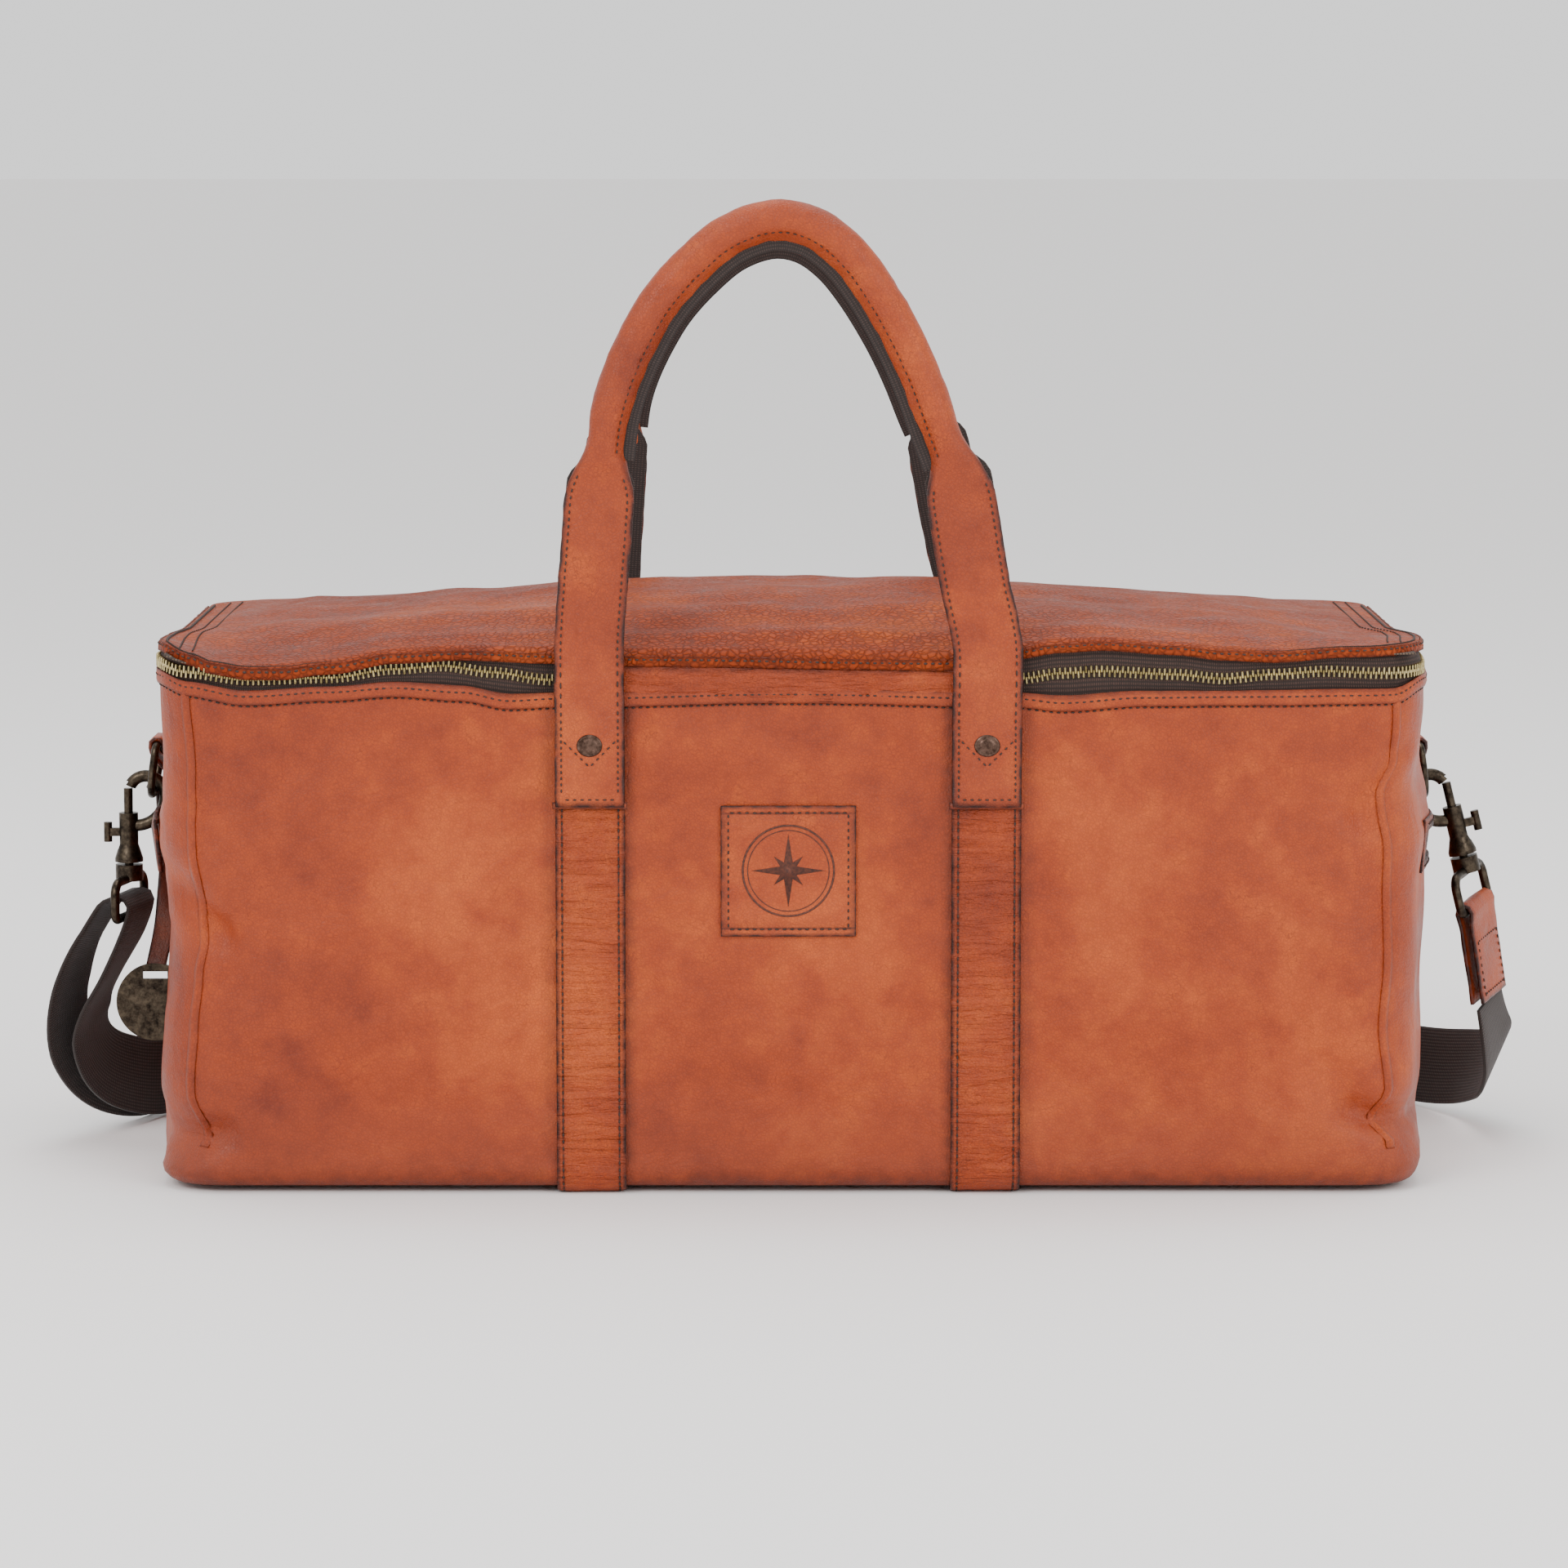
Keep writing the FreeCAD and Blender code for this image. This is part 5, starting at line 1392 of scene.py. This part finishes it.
@dataclass
class EndDetails:
    """What one end carries: the pocket's welt, and the loop that holds the D-ring."""

    bag: Bag
    end: End
    frame: tuple[float, float] = (187.0, 25.0)
    bar: tuple[float, float] = (303.5, 195.0)

    @property
    def name(self) -> str:
        """Left or right."""
        return "left" if self.end is End.LEFT else "right"

    def welt(self) -> None:
        """The leather frame round the pocket's zip, with its sewn border."""
        bag = self.bag
        bm = bmesh.new()
        wide, tall = self.frame
        bmesh.ops.create_grid(bm, x_segments=1, y_segments=1, size=0.5,
                              matrix=Matrix.Diagonal((wide, tall, 1, 1)))
        bmesh.ops.inset_region(bm, faces=bm.faces[:], thickness=5.4, use_even_offset=True,
                               use_boundary=True)
        mouth = [f for f in bm.faces if f.calc_center_median().length < 1]
        bmesh.ops.delete(bm, geom=mouth, context="FACES")
        slice_across(bm, X_AXIS, even_cuts(-wide / 2, wide / 2, 6) + [-92.4, 92.4])
        slice_across(bm, Y_AXIS, [-11.4, 11.4])
        burnish = bm.verts.layers.float.new(BURNISH_AND_SHADE)
        for vert in bm.verts:
            x, y, _ = vert.co
            outer = min(wide / 2 - abs(x), tall / 2 - abs(y))
            mouth_edge = 1 - smooth(3.4, 5.4, 5.4 - outer) if outer > 3 else 0
            vert[burnish] = max(1 - smooth(0, 2, outer), mouth_edge)
            stand = bag.half_l + 1.5 - 0.5 * smooth(1.5, 0, outer)
            vert.co = Vector((self.end.value * stand, x, bag.pocket_z + y))
        bmesh.ops.recalc_face_normals(bm, faces=bm.faces[:])
        bmesh.ops.solidify(bm, geom=bm.faces[:], thickness=1.6)
        bag.slump.settle(bm)
        finish_piece(bm, f"{self.name}_pocket_welt", STRAP_HIDE, replaces=(f"{self.name}_pocket_frame",))
        sewing = Stitching()
        x = self.end.value * (bag.half_l + 1.8)
        for z in (-9.9, 9.9):
            points = [Vector((x, y, bag.pocket_z + z)) for y in even_cuts(-92, 92, 4)]
            sewing.row(Track(points, Z_AXIS))
        sewing.finish(f"{self.name}_pocket_stitches", bag.slump)

    def loop(self) -> None:
        """A strip doubled round the ring's bar, its ends sewn to the panel below."""
        bag = self.bag
        bar_x, bar_z = self.bar
        out = self.end.value
        line = [(bag.half_l + 4.4, 170.5), (bag.half_l + 5.0, 174.5), (bag.half_l + 9.5, 181),
                (bar_x + 2.4, 190.4)]
        points = [Vector((out * x, 0, z)) for x, z in line]
        roll = arc_points(Vector((out * bar_x, 0, bar_z)), 3.25, -35, 205, X_AXIS * out, Z_AXIS, 12)
        tail = [(bag.half_l + 7.4, 184.5), (bag.half_l + 2.0, 177.0), (bag.half_l + 1.4, 171.0)]
        points = points + roll + [Vector((out * x, 0, z)) for x, z in tail]
        track = Track(points, Y_AXIS * out)
        bm = Strip(22.0, 2.3, step=2.6, edge=1.8, pinch=0.6).build(track)
        finish_piece(bm, f"{self.name}_loop", HANDLE_HIDE, replaces=(f"{self.name}_ring_loop",))


@dataclass
class HangTag:
    """A twisted leather strip from the left ring, with a plain metal disc."""

    ring: tuple[float, float, float] = (-306.6, 9.0, 173.2)
    width: float = 9.6
    thick: float = 2.2

    def build(self) -> None:
        """Loop the strip through the ring and hang the disc from it."""
        disc_low, disc_high = (v * 1000 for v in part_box("tag_disc"))
        disc_x, disc_y = (disc_low.x + disc_high.x) / 2, (disc_low.y + disc_high.y) / 2
        roll = arc_points(Vector(self.ring), 3.1, -60, 240, X_AXIS * -1, Z_AXIS, 10)
        line = roll + [Vector((-303.8, 10, 150)), Vector((-301.8, 11, 126)), Vector((-303.5, 11, 104)),
                       Vector((disc_x, disc_y, disc_high.z - 3))]
        points = smooth_line(line, 3)
        sides = []
        for point in points:
            turn = smooth(160, 95, point.z)
            sides.append(Vector((turn, 1 - turn, 0.001)).normalized())
        bm = Strip(self.width, self.thick, step=3.0, edge=1.4, wave=0.5).build(Track(points, sides))
        finish_piece(bm, "tag_leather", TAG_HIDE, body="hang_tag", replaces=("tag_strip",))


@dataclass
class Sling:
    """The shoulder strap: an end tab on the right hook, and webbing that passes behind the bag."""

    width: float = 38.0
    thick: float = 2.2
    hook_bar: tuple[float, float, float] = (332.6, 0.0, 116.1)
    hook_side: tuple[float, float, float] = (0.395, 0.914, 0.098)
    hook_down: tuple[float, float, float] = (0.2, 0.12, -0.97)
    main: tuple[tuple[float, float, float, float, float, float], ...] = (
        (340.1, 1.6, 70.7, 0.395, 0.914, 0.098), (342.6, 3.3, 57.2, 0.395, 0.914, 0.098),
        (348, 22, 36, 0.3, 0.75, 0.6), (343, 58, 27, 0.2, 0.3, 0.93), (322, 98, 20, 0.1, 0.1, 0.98),
        (296, 141, 19.5, 0, 0, 1), (240, 166, 19.5, 0, 0, 1), (170, 172, 19.5, 0, 0, 1),
        (95, 163, 19.5, 0, 0, 1), (25, 160, 19.5, 0, 0, 1), (-45, 168, 19.5, 0, 0, 1),
        (-115, 174, 20.5, 0, 0, 1), (-185, 170, 22, 0, 0, 1),
        (-248, 160, 22, 0, 0, 1), (-291, 134, 20, 0, 0, 1), (-311, 96, 19.5, 0, 0, 1),
        (-325, 58, 19.5, -0.05, 0.15, 0.98), (-345, 29, 31, 0.15, 0.55, 0.8), (-353, 8, 58, 0.4, 0.85, 0.35),
        (-345, 1, 90, 0.35, 0.93, 0.1), (-332, 2, 112, 0.21, 0.98, 0), (-325.5, 1.45, 121.5, 0.21, 0.98, 0),
        (-318.7, 0, 121.5, 0.21, 0.98, 0))
    turned: tuple[tuple[float, float, float, float, float, float], ...] = (
        (-318.7, 0, 121.5, 0.21, 0.98, 0), (-311.9, -1.45, 121.5, 0.21, 0.98, 0),
        (-315.5, -1, 107, 0.21, 0.98, 0),
        (-325, 0, 88, 0.2, 0.98, 0.1), (-341, 6, 60, 0.35, 0.85, 0.3), (-338, 25, 34, 0.15, 0.6, 0.75),
        (-317, 56, 21, -0.05, 0.2, 0.97), (-303, 90, 19.5, 0, 0, 1), (-284, 128, 20, 0, 0, 1),
        (-246, 151, 22, 0, 0, 1), (-206, 161, 22, 0, 0, 1))

    def line(self, stations: Sequence[tuple[float, ...]], name: str) -> Track:
        """Run a smooth spline on the stations and read its points.

        Args:
            stations: place and width direction of each control point, in mm.
            name: a name for the spline while it is read.

        Returns:
            The spline's own points, with the width direction carried along them.
        """
        spline_data = bpy.data.curves.new(name, "CURVE")
        spline_data.dimensions = "3D"
        spline_data.resolution_u = 12
        spline = spline_data.splines.new("NURBS")
        spline.points.add(len(stations) - 1)
        for point, station in zip(spline.points, stations):
            point.co = (*(c * MM for c in station[:3]), 1)
        spline.order_u = 3
        spline.use_endpoint_u = True
        holder = bpy.data.objects.new(name, spline_data)
        bpy.context.scene.collection.objects.link(holder)
        bpy.context.view_layer.update()
        read = bpy.data.meshes.new_from_object(holder)
        points = [v.co.copy() * 1000 for v in read.vertices]
        bpy.data.objects.remove(holder)
        bpy.data.curves.remove(spline_data)
        bpy.data.meshes.remove(read)
        sides = []
        for i, point in enumerate(points):
            place = i / (len(points) - 1) * (len(stations) - 1)
            k = min(int(place), len(stations) - 2)
            t = place - k
            sides.append(Vector(stations[k][3:]).lerp(Vector(stations[k + 1][3:]), t).normalized())
        LOG.info("%s follows %d points from %d controls", name, len(points), len(stations))
        return Track(points, sides)

    def webbing(self) -> None:
        for name, stations, node in (("sling_webbing", self.main, "strap_main"),
                                     ("sling_turned_end", self.turned, "strap_return")):
            track = self.line(stations, name)
            bm = Strip(self.width, self.thick, step=4.0, edge=1.2, pinch=0.7).build(track)
            piece = finish_piece(bm, name, WEBBING, body=None, replaces=(node,))
            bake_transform(piece, "root", "left_ring", start=(-0.330, 0.02, 0.050), end=(-0.342, 0.0, 0.112))

    def tab(self) -> None:
        """The doubled leather end that joins the webbing to the right-hand hook."""
        bar = Vector(self.hook_bar)
        side = Vector(self.hook_side).normalized()
        down = Vector(self.hook_down)
        down = (down - side * down.dot(side)).normalized()
        out = side.cross(down).normalized()
        ends = [bar + down * s + out * 2.6 for s in (45, 34, 24, 14, 7)]
        roll = arc_points(bar, 3.6, 0, 180, out, down * -1, 10)
        back = [bar + down * s - out * 2.6 for s in (7, 14, 24, 34, 45)]
        track = Track(ends + roll + back, side)
        bm = Strip(self.width, 2.4, step=3.0, edge=2.2, pinch=0.6, wave=0.5).build(track)
        piece = finish_piece(bm, "sling_end_tab", HANDLE_HIDE, body=None, replaces=("strap_end_tab",))
        start, finish = (bar + down * 46) * MM, (bar + down * 6) * MM
        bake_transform(piece, "root", "right_ring", start=tuple(start), end=tuple(finish))
        sewing = Stitching()
        for across in (-15.4, 15.4):
            for face in (0, 1):
                begin = 2.0 if face == 0 else track.length - 31
                sewing.row(track, across, 1.35, begin, begin + 29)
        for along in (4, 30):
            for place in (along, track.length - along):
                point, _, _, normal = track.at(place)
                row = [point + side * u + normal * 1.35 for u in (-15, 0, 15)]
                sewing.row(Track(row, down))
        piece = finish_piece(sewing.beads, "sling_tab_stitches", THREAD, body=None)
        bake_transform(piece, "root", "right_ring", start=tuple(start), end=tuple(finish))


# -------------------------------------------------------------------- dressing


def dress_nodes(frame: dict[str, Any]) -> None:
    """Give every node that still shows the finish of its slot."""
    by_name: dict[str, Finish] = {"base_board": FIBREBOARD}
    for name, node in frame["nodes"].items():
        if node.hide_render:
            continue
        finish = by_name.get(name, PLATED)
        node.data.materials.clear()
        node.data.materials.append(finish.material())


@dataclass
class Studio:
    """A pale floor, soft light and the camera."""

    distance: float = 2.735
    height: float = 0.508
    tilt: float = 6.94
    lens: float = 131.0
    surround: float = 1.25

    def camera(self) -> None:
        """Set the camera in front of the bag."""
        data = bpy.data.cameras.new("camera")
        data.lens = self.lens
        data.sensor_width = 36.0
        data.clip_end = 50.0
        camera = bpy.data.objects.new("camera", data)
        camera.location = (-0.002, -self.distance, self.height)
        camera.rotation_euler = (math.radians(90 - self.tilt), 0, 0)
        bpy.context.scene.collection.objects.link(camera)
        bpy.context.scene.camera = camera

    def floor(self) -> None:
        """Lay a pale floor that the bag stands on."""
        bm = bmesh.new()
        bmesh.ops.create_grid(bm, x_segments=1, y_segments=1, size=30)
        mesh = bpy.data.meshes.new("floor")
        bm.to_mesh(mesh)
        bm.free()
        material = bpy.data.materials.new("pale_floor")
        material.use_nodes = True
        shader = material.node_tree.nodes["Principled BSDF"]
        shader.inputs["Base Color"].default_value = linear("#F6F4F3")
        shader.inputs["Roughness"].default_value = 0.9
        shader.inputs["Specular IOR Level"].default_value = 0.1
        mesh.materials.append(material)
        floor = bpy.data.objects.new("floor", mesh)
        bpy.context.scene.collection.objects.link(floor)

    def lights(self) -> None:
        """Hang large soft lamps and an even white surround."""
        world = bpy.data.worlds.new("surround")
        bpy.context.scene.world = world
        world.use_nodes = True
        world.node_tree.nodes["Background"].inputs["Color"].default_value = (1, 1, 1, 1)
        world.node_tree.nodes["Background"].inputs["Strength"].default_value = self.surround
        for name, place, size, power in (("key", (-1.5, -2.2, 2.0), 1.6, 42.0),
                                         ("fill", (1.8, -2.0, 1.4), 1.6, 26.0),
                                         ("top", (0.0, 0.3, 2.4), 1.8, 26.0)):
            data = bpy.data.lights.new(name, "AREA")
            data.shape, data.size, data.energy = "DISK", size, power
            lamp = bpy.data.objects.new(name, data)
            lamp.location = place
            aim = Vector((0, 0, 0.15)) - Vector(place)
            lamp.rotation_euler = aim.to_track_quat("-Z", "Y").to_euler()
            bpy.context.scene.collection.objects.link(lamp)


def main() -> None:
    """Load the frame, then build, dress and light the bag."""
    logging.basicConfig(level=logging.INFO, format="%(name)s %(message)s")
    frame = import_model()
    studio = Studio()
    studio.camera()
    bag = Bag()
    sling = Sling()
    sling.webbing()
    sling.tab()
    body = Body(bag)
    body.hide()
    body.lining()
    body.seams()
    body.stitches()
    lid = Lid(bag)
    lid.hide()
    lid.rear_strip()
    lid.stitches()
    zips = Zip(bag)
    zips.main()
    Trims(bag).build()
    caps: list[bmesh.types.BMesh] = []
    lips: list[bmesh.types.BMesh] = []
    for face, lean, droop in ((Face.FRONT, 0.0, 0.0), (Face.BACK, -1.0, 12.0)):
        handle = Handle(bag, face, lean=lean, droop=droop)
        handle.build()
        caps += handle.rivets()
        lips += handle.lips()
    finish_piece(bag.slump.settle(merge(lips)), "foot_lips", HANDLE_HIDE)
    finish_piece(bag.slump.settle(merge(caps)), "rivet_caps", RIVET_METAL, replaces=("handle_rivets",))
    details = FrontDetails(bag)
    details.guard()
    details.badge()
    for end in End:
        zips.pocket(end)
        side = EndDetails(bag, end)
        side.welt()
        side.loop()
    HangTag().build()
    dress_nodes(frame)
    studio.floor()
    studio.lights()
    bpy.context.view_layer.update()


if __name__ == "__main__":
    main()
